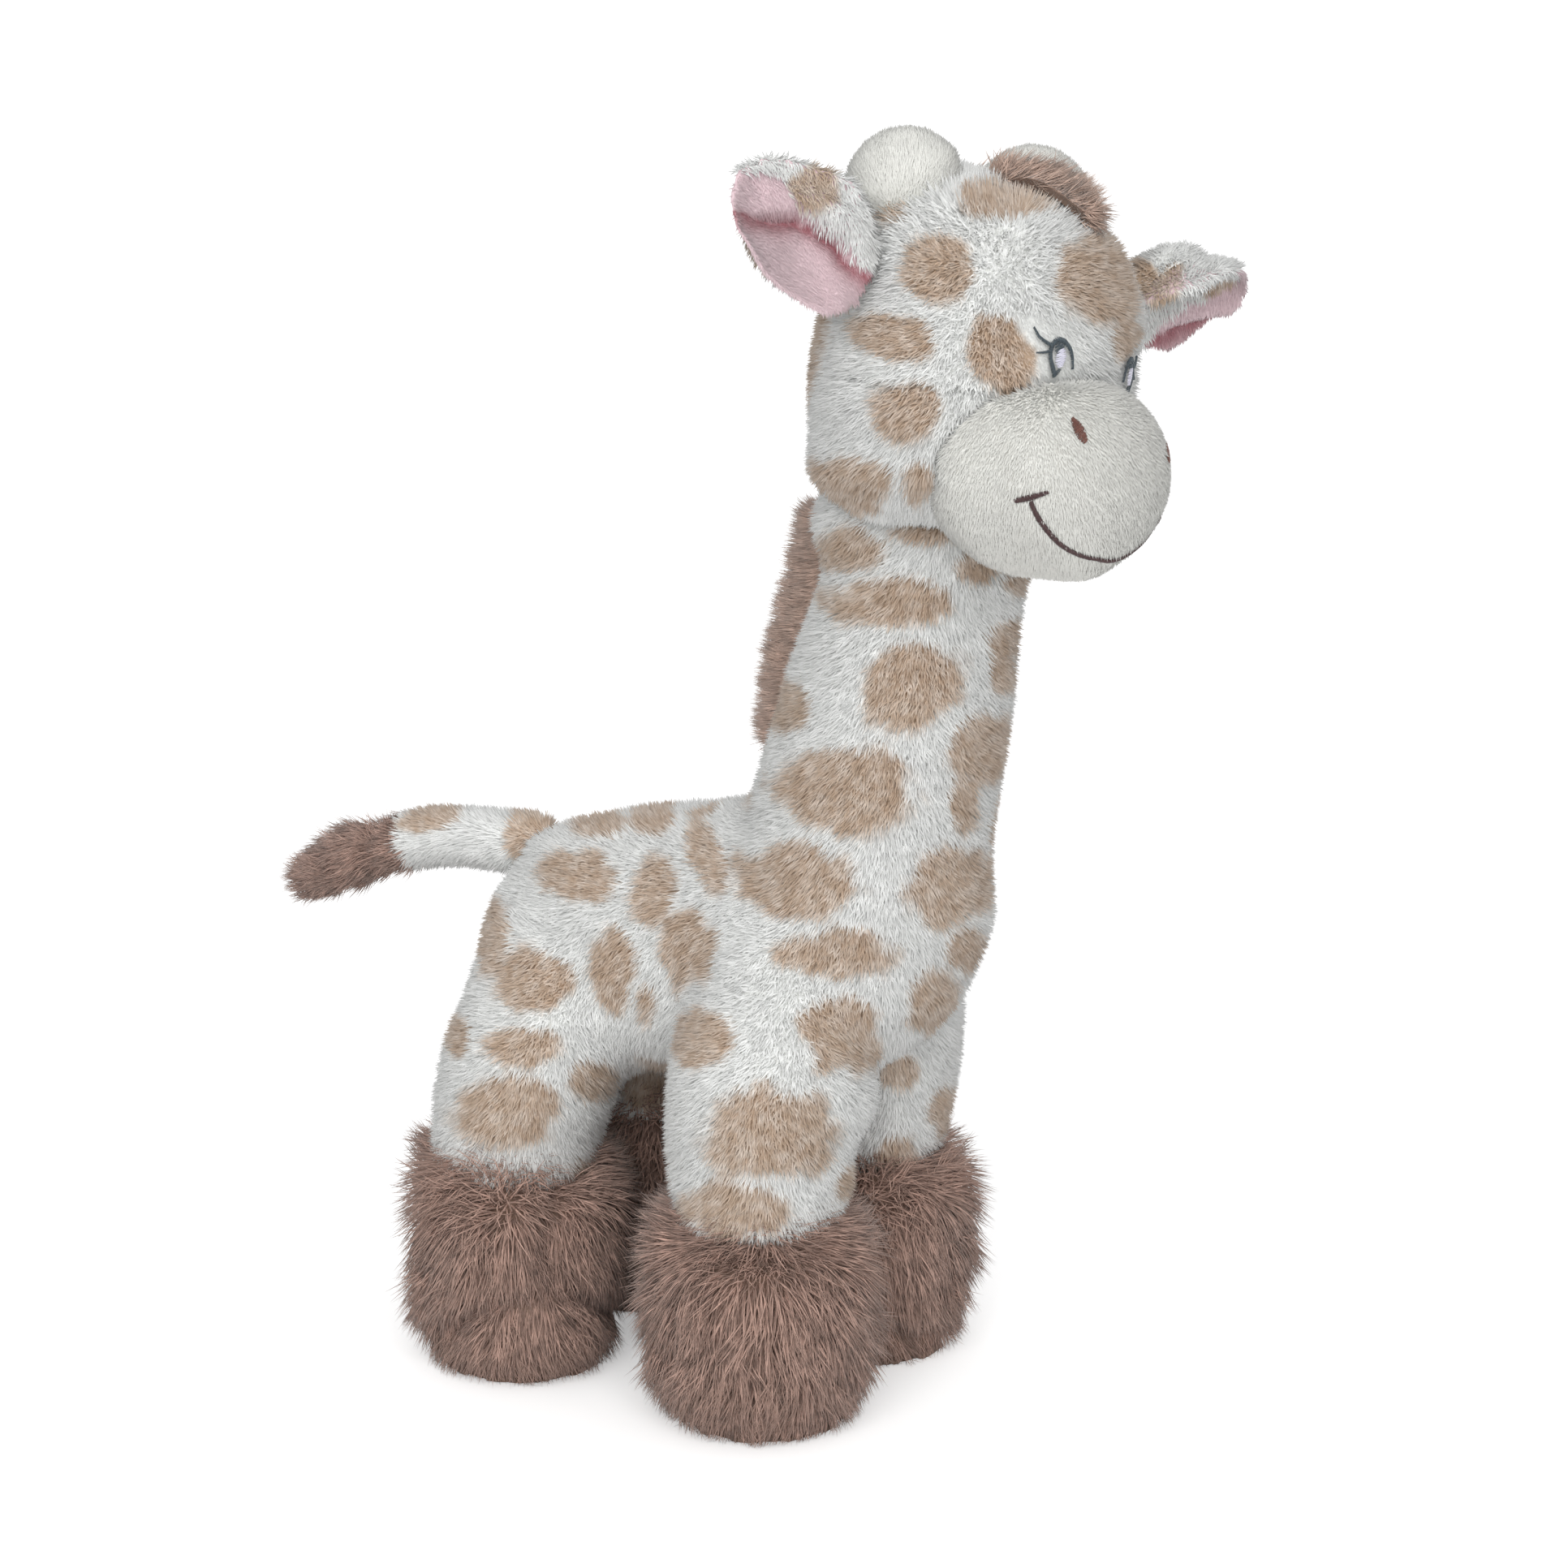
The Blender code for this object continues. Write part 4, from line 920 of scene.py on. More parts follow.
def sewer():
    """Geometry nodes that lay satin stitches side by side across a line on the cloth."""
    tree = bpy.data.node_groups.new("sew_satin", "GeometryNodeTree")
    tree.is_modifier = True
    for name, kind in (
        ("Line", "NodeSocketGeometry"), ("Stitch", "NodeSocketObject"),
        ("Pitch", "NodeSocketFloat"), ("Slant", "NodeSocketFloat"),
        ("Seed", "NodeSocketInt"), ("Material", "NodeSocketMaterial"),
    ):
        tree.interface.new_socket(name, in_out="INPUT", socket_type=kind)
    tree.interface.new_socket("Stitches", in_out="OUTPUT", socket_type="NodeSocketGeometry")
    given = node(tree, "NodeGroupInput").outputs
    line = node(tree, "GeometryNodeMeshToCurve", {"Mesh": given["Line"]})
    spaced = node(tree, "GeometryNodeResampleCurve", {
        "Curve": line.outputs[0], "Length": given["Pitch"],
    }, mode="LENGTH")
    shade = node(tree, "FunctionNodeRandomValue", {"Seed": given["Seed"]}, data_type="FLOAT")
    shaded = node(tree, "GeometryNodeStoreNamedAttribute", {
        "Geometry": spaced.outputs[0], "Name": "shade", "Value": shade.outputs[1],
    }, data_type="FLOAT", domain="POINT")
    out = node(tree, "GeometryNodeInputNamedAttribute", {"Name": "out"},
               data_type="FLOAT_VECTOR")
    wide = node(tree, "GeometryNodeInputNamedAttribute", {"Name": "wide"}, data_type="FLOAT")
    run = node(tree, "GeometryNodeInputTangent")
    across = node(tree, "FunctionNodeAxesToRotation", {
        "Primary Axis": out.outputs[0], "Secondary Axis": run.outputs[0],
    }, primary_axis="Z", secondary_axis="Y")
    jitter = node(tree, "FunctionNodeRandomValue", {
        2: -0.12, 3: 0.12, "Seed": given["Seed"],
    }, data_type="FLOAT")
    angle = node(tree, "ShaderNodeMath", {0: given["Slant"], 1: jitter.outputs[1]},
                 operation="ADD")
    slanted = node(tree, "FunctionNodeAxisAngleToRotation", {
        "Axis": (0, 0, 1), "Angle": angle.outputs[0],
    })
    turned = node(tree, "FunctionNodeRotateRotation", {
        "Rotation": across.outputs[0], "Rotate By": slanted.outputs[0],
    }, rotation_space="LOCAL")
    uneven = node(tree, "FunctionNodeRandomValue", {
        2: 0.9, 3: 1.08, "Seed": given["Seed"],
    }, data_type="FLOAT")
    length = node(tree, "ShaderNodeMath", {0: wide.outputs[0], 1: uneven.outputs[1]},
                  operation="MULTIPLY")
    scale = node(tree, "ShaderNodeCombineXYZ", {"X": length.outputs[0], "Y": 1.0, "Z": 1.0})
    template = node(tree, "GeometryNodeObjectInfo", {"Object": given["Stitch"]})
    sewn = node(tree, "GeometryNodeInstanceOnPoints", {
        "Points": shaded.outputs[0], "Instance": template.outputs["Geometry"],
        "Rotation": turned.outputs[0], "Scale": scale.outputs[0],
    })
    real = node(tree, "GeometryNodeRealizeInstances", {"Geometry": sewn.outputs[0]})
    dressed = node(tree, "GeometryNodeSetMaterial", {
        "Geometry": real.outputs[0], "Material": given["Material"],
    })
    node(tree, "NodeGroupOutput", {"Stitches": dressed.outputs[0]})
    return tree


SEWER = sewer()


def set_inputs(modifier, values):
    """Sets a geometry nodes modifier's inputs by their sockets' identifiers."""
    sockets = {item.name: item.identifier for item in modifier.node_group.interface.items_tree
               if item.in_out == "INPUT"}
    for name, value in values.items():
        modifier[sockets[name]] = value


def map_cells(mesh, faces_each):
    """A map in which each fibre or stitch has its own small cell, so that it can be baked."""
    count = len(mesh.polygons)
    starts = np.zeros(count, np.int32)
    totals = np.zeros(count, np.int32)
    mesh.polygons.foreach_get("loop_start", starts)
    mesh.polygons.foreach_get("loop_total", totals)
    across = math.ceil(math.sqrt(math.ceil(count / faces_each)))
    inner = math.ceil(math.sqrt(faces_each))
    which = np.arange(count)
    cell, part = which // faces_each, which % faces_each
    low = np.stack([cell % across + (part % inner) / inner,
                    cell // across + (part // inner) / inner], 1) / across
    uv = np.zeros((len(mesh.loops), 2), np.float32)
    for corner in range(totals.max()):
        has = totals > corner
        turn = math.tau * (corner / totals[has] + 1 / 8)
        spot = 0.5 + 0.45 * np.stack([np.cos(turn), np.sin(turn)], 1)
        uv[starts[has] + corner] = low[has] + spot / (across * inner)
    layer = mesh.uv_layers.new(name="OFBake")
    layer.uv.foreach_set("vector", uv.ravel())


MIDDLE_PAIRS = ("eye", "nostril", "horn_skin")
HEAD_SIDEWAYS = unit(sum(np.array(box_middle(f"left_{part}") - box_middle(f"right_{part}"))
                         for part in MIDDLE_PAIRS))
HEAD_MIDDLE = sum(np.array(box_middle(f"left_{part}") + box_middle(f"right_{part}"))
                  for part in MIDDLE_PAIRS) / (2 * len(MIDDLE_PAIRS))


def mirrored(points, surface):
    """Points carried to the other half of the face and set down on the cloth again."""
    over = points - 2 * ((points - HEAD_MIDDLE) @ HEAD_SIDEWAYS)[:, None] * HEAD_SIDEWAYS
    found = [surface.find_nearest(Vector(point)) for point in over]
    return np.array([f[0] for f in found]), np.array([f[1] for f in found])


def sew(name, lines, thread, replaced, seed):
    """Sews lines, each its points, the cloth's normals there and the stitches' widths."""
    mesh = bpy.data.meshes.new(name)
    vertices = np.concatenate([line[0] for line in lines])
    edges, start = [], 0
    for line in lines:
        edges += [(start + k, start + k + 1) for k in range(len(line[0]) - 1)]
        start += len(line[0])
    mesh.from_pydata(vertices.tolist(), edges, [])
    set_attribute(mesh, "out", np.concatenate([line[1] for line in lines]), "FLOAT_VECTOR")
    set_attribute(mesh, "wide", np.concatenate([line[2] for line in lines]))
    holder = bpy.data.objects.new("holder", mesh)
    SCENE.collection.objects.link(holder)
    sewing = holder.modifiers.new("sew", "NODES")
    sewing.node_group = SEWER
    set_inputs(sewing, {"Stitch": STITCH, "Pitch": STITCH_PITCH, "Slant": STITCH_SLANT,
                        "Seed": seed, "Material": thread})
    sewn = evaluated_mesh(holder)
    bpy.data.objects.remove(holder)
    for attribute in ("out", "wide"):
        if attribute in sewn.attributes:
            sewn.attributes.remove(sewn.attributes[attribute])
    map_cells(sewn, len(STITCH.data.polygons))
    piece = add_piece(name, sewn, thread, "head")
    if replaced:
        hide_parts(replaced)


def face_line(surface, path, lift):
    """A line of the photograph laid on the face, lifted off the cloth."""
    found, outs, rows = cast_path(surface, path)
    return found + lift * outs, outs, rows[:, 2] / PIXELS_PER_METRE


def other_line(surface, line, lift, aside=0):
    found, outs = mirrored(line[0] - aside * HEAD_SIDEWAYS, surface)
    return found + lift * outs, outs, line[2]


muzzle_surface, head_surface = tree_of(muzzle_cover), tree_of(head_cover)
near_smile = face_line(muzzle_surface, SMILE_LINE, ON_MUZZLE)
this_half = ((near_smile[0] - HEAD_MIDDLE) @ HEAD_SIDEWAYS) < 0
near_smile = tuple(values[this_half] for values in near_smile)
far_smile = other_line(muzzle_surface, near_smile, ON_MUZZLE)
smile = tuple(np.concatenate([near, far[::-1]]) for near, far in zip(near_smile, far_smile))
near_end = face_line(muzzle_surface, SMILE_END_LINE, ON_MUZZLE)
far_end = other_line(muzzle_surface, near_end, ON_MUZZLE)
near_nostril = face_line(muzzle_surface, NOSTRIL_LINE, ON_MUZZLE)
far_nostril = other_line(muzzle_surface, near_nostril, ON_MUZZLE, FAR_NOSTRIL_ASIDE)
near_eye = [face_line(head_surface, line, ON_HEAD) for line in EYE_LINES]
far_eye = [other_line(head_surface, line, ON_HEAD, FAR_EYE_ASIDE) for line in near_eye]
near_light = face_line(head_surface, EYE_LIGHT_LINE, ON_HEAD + LIGHT_OVER_EYE)
far_light = other_line(head_surface, near_light, ON_HEAD + LIGHT_OVER_EYE, FAR_EYE_ASIDE)
sew("smile_stitches", [smile, near_end, far_end], BROWN_THREAD, "smile", 91)
sew("right_nostril_stitches", [near_nostril], RED_BROWN_THREAD,
    "right_nostril", 92)
sew("left_nostril_stitches", [far_nostril], RED_BROWN_THREAD,
    "left_nostril", 93)
sew("right_eye_stitches", near_eye, SLATE_THREAD, "right_eye", 94)
sew("left_eye_stitches", far_eye, SLATE_THREAD, "left_eye", 95)
sew("right_eye_light", [near_light], LILAC_THREAD, None, 96)
sew("left_eye_light", [far_light], LILAC_THREAD, None, 97)
on_muzzle = np.concatenate([line[0] for line in (smile, near_end, far_end, near_nostril,
                                                 far_nostril)])
on_head = np.concatenate([line[0] for line in near_eye + far_eye])

# Pile: fibres grown from the covers


def fibre(name, length, radius, segments, bend):
    """A tapered fibre with three sides that stands on the origin and leans towards X."""
    shape = bmesh.new()
    rings = []
    for step in range(segments):
        share = step / segments
        middle = Vector((bend * share ** 2, 0, share)) * length
        rings.append([shape.verts.new(middle + Vector((
            math.cos(side * math.tau / 3), math.sin(side * math.tau / 3), 0,
        )) * radius * (1 - 0.55 * share)) for side in range(3)])
    tip = shape.verts.new(Vector((bend, 0, 1)) * length)
    for side in range(3):
        after = (side + 1) % 3
        for low, high in zip(rings, rings[1:]):
            shape.faces.new((low[side], low[after], high[after], high[side]))
        shape.faces.new((rings[-1][side], rings[-1][after], tip))
    for face in shape.faces:
        face.smooth = True
    mesh = bpy.data.meshes.new(name)
    shape.to_mesh(mesh)
    shape.free()
    template = bpy.data.objects.new(name, mesh)
    SCRATCH.objects.link(template)
    return template


def grower():
    """Geometry nodes that plant fibres on a cover. A fibre's root is on the cloth, and it
    stands along the normal, leans along the lay and is ruffled by chance."""
    tree = bpy.data.node_groups.new("grow_pile", "GeometryNodeTree")
    tree.is_modifier = True
    for name, kind in (
        ("Cover", "NodeSocketGeometry"), ("Fibre", "NodeSocketObject"),
        ("Fibres per Area", "NodeSocketFloat"), ("Lean", "NodeSocketFloat"),
        ("Ruffle", "NodeSocketFloat"), ("Shortest", "NodeSocketFloat"),
        ("Longest", "NodeSocketFloat"), ("Seed", "NodeSocketInt"),
        ("Material", "NodeSocketMaterial"),
    ):
        tree.interface.new_socket(name, in_out="INPUT", socket_type=kind)
    tree.interface.new_socket("Pile", in_out="OUTPUT", socket_type="NodeSocketGeometry")
    given = node(tree, "NodeGroupInput").outputs
    grow = node(tree, "GeometryNodeInputNamedAttribute", {"Name": "grow"}, data_type="FLOAT")
    lay = node(tree, "GeometryNodeInputNamedAttribute", {"Name": "lay"},
               data_type="FLOAT_VECTOR")
    length = node(tree, "GeometryNodeInputNamedAttribute", {"Name": "length"},
                  data_type="FLOAT")
    density = node(tree, "ShaderNodeMath", {0: grow.outputs[0], 1: given["Fibres per Area"]},
                   operation="MULTIPLY")
    roots = node(tree, "GeometryNodeDistributePointsOnFaces", {
        "Mesh": given["Cover"], "Density": density.outputs[0], "Seed": given["Seed"],
    }, distribute_method="RANDOM")
    shade = node(tree, "FunctionNodeRandomValue", {"Seed": given["Seed"]}, data_type="FLOAT")
    shaded = node(tree, "GeometryNodeStoreNamedAttribute", {
        "Geometry": roots.outputs["Points"], "Name": "shade", "Value": shade.outputs[1],
    }, data_type="FLOAT", domain="POINT")
    lit = node(tree, "GeometryNodeStoreNamedAttribute", {
        "Geometry": shaded.outputs[0], "Name": "cloth_normal",
        "Value": roots.outputs["Normal"],
    }, data_type="FLOAT_VECTOR", domain="POINT")
    chance = node(tree, "FunctionNodeRandomValue", {
        0: (-1.0, -1.0, -1.0), 1: (1.0, 1.0, 1.0), "Seed": given["Seed"],
    }, data_type="FLOAT_VECTOR")
    ruffled = node(tree, "ShaderNodeVectorMath", {0: chance.outputs[0], 3: given["Ruffle"]},
                   operation="SCALE")
    leaning = node(tree, "ShaderNodeVectorMath", {0: lay.outputs[0], 3: given["Lean"]},
                   operation="SCALE")
    standing = node(tree, "ShaderNodeVectorMath", {
        0: roots.outputs["Normal"], 1: leaning.outputs[0],
    }, operation="ADD")
    direction = node(tree, "ShaderNodeVectorMath", {
        0: standing.outputs[0], 1: ruffled.outputs[0],
    }, operation="ADD")
    bending = node(tree, "ShaderNodeVectorMath", {
        0: lay.outputs[0], 1: ruffled.outputs[0],
    }, operation="ADD")
    turned = node(tree, "FunctionNodeAxesToRotation", {
        "Primary Axis": direction.outputs[0], "Secondary Axis": bending.outputs[0],
    }, primary_axis="Z", secondary_axis="X")
    any_length = node(tree, "FunctionNodeRandomValue", {
        2: given["Shortest"], 3: given["Longest"], "Seed": given["Seed"],
    }, data_type="FLOAT")
    scale = node(tree, "ShaderNodeMath", {0: any_length.outputs[1], 1: length.outputs[0]},
                 operation="MULTIPLY")
    template = node(tree, "GeometryNodeObjectInfo", {"Object": given["Fibre"]})
    planted = node(tree, "GeometryNodeInstanceOnPoints", {
        "Points": lit.outputs[0], "Instance": template.outputs["Geometry"],
        "Rotation": turned.outputs[0], "Scale": scale.outputs[0],
    })
    real = node(tree, "GeometryNodeRealizeInstances", {"Geometry": planted.outputs[0]})
    dressed = node(tree, "GeometryNodeSetMaterial", {
        "Geometry": real.outputs[0], "Material": given["Material"],
    })
    node(tree, "NodeGroupOutput", {"Pile": dressed.outputs[0]})
    return tree


GROWER = grower()


def soften_shading(mesh, share):
    """Lights each fibre largely as the cloth under it, as light spreads through a deep pile."""
    field = mesh.attributes["cloth_normal"]
    cloth = np.zeros(len(mesh.vertices) * 3, np.float32)
    field.data.foreach_get("vector", cloth)
    mesh.attributes.remove(field)
    own = normals_of(mesh)
    blended = unit(share * cloth.reshape(-1, 3) + (1 - share) * own)
    mesh.normals_split_custom_set_from_vertices(blended)


def tangent(normals, direction):
    """A direction laid flat on the cloth at each point."""
    given = np.broadcast_to(np.asarray(direction, float), normals.shape)
    return unit(given - (given * normals).sum(1)[:, None] * normals)


LOWEST_FIBRE = 0.3 * MM
MM2_PER_M2 = 1e6
FLOW_SEEDS_APART = 17


def grow_pile(name, cover, template, per_mm2, lay, material, body, grow=1.0, length=1.0,
              lean=0.8, ruffle=0.35, shortest=0.75, longest=1.15, seed=1, cloth_light=0.65):
    """Plants fibres over a cover, and keeps them as a plain mesh."""
    mesh = cover.data
    count = len(mesh.vertices)
    set_attribute(mesh, "grow", np.broadcast_to(grow, count))
    set_attribute(mesh, "length", np.broadcast_to(length, count))
    set_attribute(mesh, "lay", np.broadcast_to(lay, (count, 3)), "FLOAT_VECTOR")
    growth = cover.modifiers.new("grow", "NODES")
    growth.node_group = GROWER
    set_inputs(growth, {
        "Fibre": template, "Fibres per Area": per_mm2 * MM2_PER_M2, "Lean": float(lean),
        "Ruffle": float(ruffle), "Shortest": shortest, "Longest": longest, "Seed": seed,
        "Material": material,
    })
    grown = evaluated_mesh(cover)
    cover.modifiers.remove(growth)
    for attribute in ("grow", "length", "lay"):
        mesh.attributes.remove(mesh.attributes[attribute])
        if attribute in grown.attributes:
            grown.attributes.remove(grown.attributes[attribute])
    points = points_of(grown)
    points[:, 2] = np.maximum(points[:, 2], LOWEST_FIBRE)
    set_points(grown, points)
    soften_shading(grown, cloth_light)
    map_cells(grown, len(template.data.polygons))
    grown.name = name
    add_piece(name, grown, material, body)


def gaps_to(nodes, points):
    """How far each point is from the surfaces of these nodes."""
    tree = mesh_tree(joined(nodes))
    return np.array([tree.find_nearest(Vector(point))[3] for point in points])


def nearest_part(points, parts):
    """Which of the parts each point is nearest to."""
    return np.array([gaps_to(nodes, points) for nodes in parts]).argmin(0)


def hidden_in(points, nodes, depth):
    """0 where a point is within half the depth of these nodes, easing to 1 at the depth."""
    return eased(gaps_to(nodes, points), depth * 0.5, depth)


def flow(points, size, strength, seed):
    """A slow turning of the pile that parts it into locks."""
    parts = [waver(points, size, seed + FLOW_SEEDS_APART * k) for k in range(3)]
    return strength * np.stack(parts, 1)


SHORT_FIBRE = fibre("short_fibre", 3.6 * MM, 0.32 * MM, 1, 0)
LONG_FIBRE = fibre("long_fibre", 11 * MM, 0.21 * MM, 2, 0.3)
FRINGE_FIBRE = fibre("fringe_fibre", 6 * MM, 0.17 * MM, 1, 0)
FORELOCK_FIBRE = fibre("forelock_fibre", 8 * MM, 0.18 * MM, 2, 0.25)
NAP_FIBRE = fibre("nap_fibre", 1.5 * MM, 0.2 * MM, 1, 0)
SMALL_FIBRE = fibre("small_fibre", 3 * MM, 0.26 * MM, 1, 0)
# Fibres on each square millimetre.
BODY_DENSITY = 4.4
MUZZLE_DENSITY = 5.5
HORN_DENSITY = 7
TAIL_DENSITY = 6
BOOT_DENSITY = 2.4
MANE_DENSITY = 11
FORELOCK_DENSITY = 12
TUFT_DENSITY = 7
EAR_DENSITY = 6
ROLL_DENSITIES = {"right": 9, "left": 6}
EAR_NAP_DENSITY = 8
NECK_HALF_HEIGHT = 146 * MM
CROWN_HEIGHT = 238 * MM

points, normals = points_of(body_cover.data), normals_of(body_cover.data)
part = nearest_part(points, [
    ["torso_skin"], ["neck_skin"],
    ["front_right_leg_skin", "front_left_leg_skin"],
    ["hind_right_leg_skin", "hind_left_leg_skin"],
])
part[(part == 1) & (points[:, 2] > NECK_HALF_HEIGHT)] = 4
body_lay = tangent(normals, (0, 0.3, -1)) + flow(points, 9 * MM, 0.5, 3)
for index, name in enumerate(("torso_pile", "chest_pile", "front_legs_pile", "hind_legs_pile",
                              "neck_pile")):
    grow_pile(name, body_cover, SHORT_FIBRE, BODY_DENSITY, body_lay, SPOTTED_PILE, "giraffe",
              grow=(part == index).astype(float), lean=0.55, seed=20 + index)

points, normals = points_of(head_cover.data), normals_of(head_cover.data)
bare = hidden_in(points, ["muzzle_skin"], 1.2 * MM)
from_eye, _ = nearest_of(points, on_head)
bare *= eased(from_eye, 1 * MM, 1.8 * MM)
pressed = 0.4 + 0.6 * eased(from_eye, 2 * MM, 7 * MM)
round_horns = hidden_in(points, ["right_horn_skin", "left_horn_skin"], 9 * MM)
pressed *= 1.5 - 0.5 * round_horns
head_lay = tangent(normals, (0.1, 0.4, -1)) + flow(points, 9 * MM, 0.5, 4)
crown = points[:, 2] > CROWN_HEIGHT
for name, share in (("head_pile", ~crown), ("crown_pile", crown)):
    grow_pile(name, head_cover, SHORT_FIBRE, BODY_DENSITY, head_lay, SPOTTED_PILE, "head",
              grow=bare * share, length=pressed, lean=0.55, seed=31)

points, normals = points_of(muzzle_cover.data), normals_of(muzzle_cover.data)
from_stitch, _ = nearest_of(points, on_muzzle)
grow_pile("muzzle_nap", muzzle_cover, NAP_FIBRE, MUZZLE_DENSITY,
          tangent(normals, (0, 0, -1)), CREAM_PILE, "head",
          grow=eased(from_stitch, 0.4 * MM, 1.1 * MM), seed=41, lean=1.2,
          cloth_light=0.85)
for side in ("right", "left"):
    cover = horn_covers[side]
    grow_pile(f"{side}_horn_nap", cover, NAP_FIBRE, HORN_DENSITY,
              tangent(normals_of(cover.data), (0, 0, 1)), CREAM_PILE, "head",
              length=1.35, seed=42, lean=1.0, cloth_light=0.8)

TUFT_OVER_TAIL = 9 * MM
points = points_of(tail_cover.data)
tail_lay = tangent(normals_of(tail_cover.data), (0, 1, -0.3))
spotted = hidden_in(points, ["tail_tuft"], TUFT_OVER_TAIL)
grow_pile("tail_pile", tail_cover, SMALL_FIBRE, TAIL_DENSITY, tail_lay, SPOTTED_PILE, "tail",
          grow=spotted, seed=51)

# Pixels of the photograph along the folds in the boots' fur.
BOOT_FOLDS = {
    "front_right": (((868, 1532), (905, 1546), (945, 1550), (980, 1546), (1006, 1534)),),
    "front_left": (((1062, 1626), (1100, 1626), (1140, 1640)),),
    "hind_right": (((556, 1630), (585, 1608), (625, 1594), (680, 1588), (730, 1592), (772, 1604)),
                   ((690, 1440), (674, 1480), (668, 1520), (684, 1570))),
    "hind_left": (),
}
BOOT_PULLS = {
    "front_right": ((800, 1485, -8, 28, 45), (1070, 1490, -4, 22, 45), (930, 1660, -11, 0, 110)),
    "front_left": ((1135, 1425, 0, 22, 60), (1215, 1560, -14, 0, 80)),
    "hind_right": ((640, 1455, 0, -20, 60), (500, 1520, 7, 0, 90)),
    "hind_left": ((800, 1385, 0, -28, 60),),
}
FOLD_DEPTH = 4.5 * MM
FOLD_WIDTH = 4 * MM
COLLAR_LOW = 36 * MM
COLLAR_HIGH = 42 * MM
COLLAR_SPREAD = 0.7
COLLAR_LIFT = 0.1
BOOT_SPREAD = 0.25
for number, foot in enumerate(BOOTS):
    cover = boot_covers[foot]
    pulled(cover, BOOT_PULLS[foot])
    surface = tree_of(cover)
    folds = [cast_path(surface, path)[0] for path in BOOT_FOLDS[foot]]
    points, normals = points_of(cover.data), normals_of(cover.data)
    folded = np.zeros(len(points))
    if folds:
        gap, _ = nearest_of(points, np.concatenate(folds))
        folded = np.exp(-(gap / FOLD_WIDTH) ** 2)
        points = points - FOLD_DEPTH * folded[:, None] * normals
        set_points(cover.data, points)
        normals = normals_of(cover.data)
    middle = np.array(box_middle(f"{foot}_boot"))
    outwards = unit((points - middle) * (1, 1, 0))
    collar = eased(points[:, 2], COLLAR_LOW, COLLAR_HIGH)[:, None]
    lay = (tangent(normals, (0, 0, -1)) * (1 - collar)
           + (COLLAR_SPREAD * outwards + np.array((0, 0, COLLAR_LIFT))) * collar
           + BOOT_SPREAD * outwards + flow(points, 7 * MM, 0.9, 7 + number))
    grow = eased(points[:, 2], 1 * MM, 5 * MM)
    long = (0.55 + 0.45 * eased(points[:, 2], 4 * MM, 22 * MM)) * (1 - 0.5 * folded)
    grow_pile(f"{foot}_boot_pile", cover, LONG_FIBRE, BOOT_DENSITY, lay, BROWN_PILE, "giraffe",
              grow=grow, length=long, lean=1.3, ruffle=0.42,
              seed=60 + number, cloth_light=0.35)

points = points_of(mane_cover.data)
grow_pile("mane_pile", mane_cover, FRINGE_FIBRE, MANE_DENSITY,
          np.array((-0.2, 1.0, 0.05)) + flow(points, 3.5 * MM, 1.0, 5), FRINGE_PILE,
          "giraffe", length=1.0, lean=1.4, ruffle=0.45, shortest=0.5,
          longest=1.25, seed=71, cloth_light=0.25)
points = points_of(forelock_cover.data)
grow_pile("forelock_pile", forelock_cover, FORELOCK_FIBRE, FORELOCK_DENSITY,
          np.array((0.4, -0.6, -0.1)) + flow(points, 5 * MM, 0.6, 6), FRINGE_PILE, "head",
          length=0.85, lean=1.4, ruffle=0.4, seed=72, cloth_light=0.4)
points = points_of(tail_cover.data)
grow_pile("tail_end_pile", tail_cover, LONG_FIBRE, TUFT_DENSITY,
          tail_lay + flow(points, 5 * MM, 0.9, 9), BROWN_PILE, "tail",
          grow=1 - spotted, length=0.5, lean=1.2, ruffle=0.5, seed=74, cloth_light=0.35)
points = points_of(tuft_cover.data)
grow_pile("tuft_pile", tuft_cover, LONG_FIBRE, TUFT_DENSITY,
          np.array((-0.1, 1.0, -0.3)) + flow(points, 5 * MM, 0.9, 8), BROWN_PILE,
          "tail", length=0.65, lean=1.4, ruffle=0.5, seed=73,
          cloth_light=0.35)

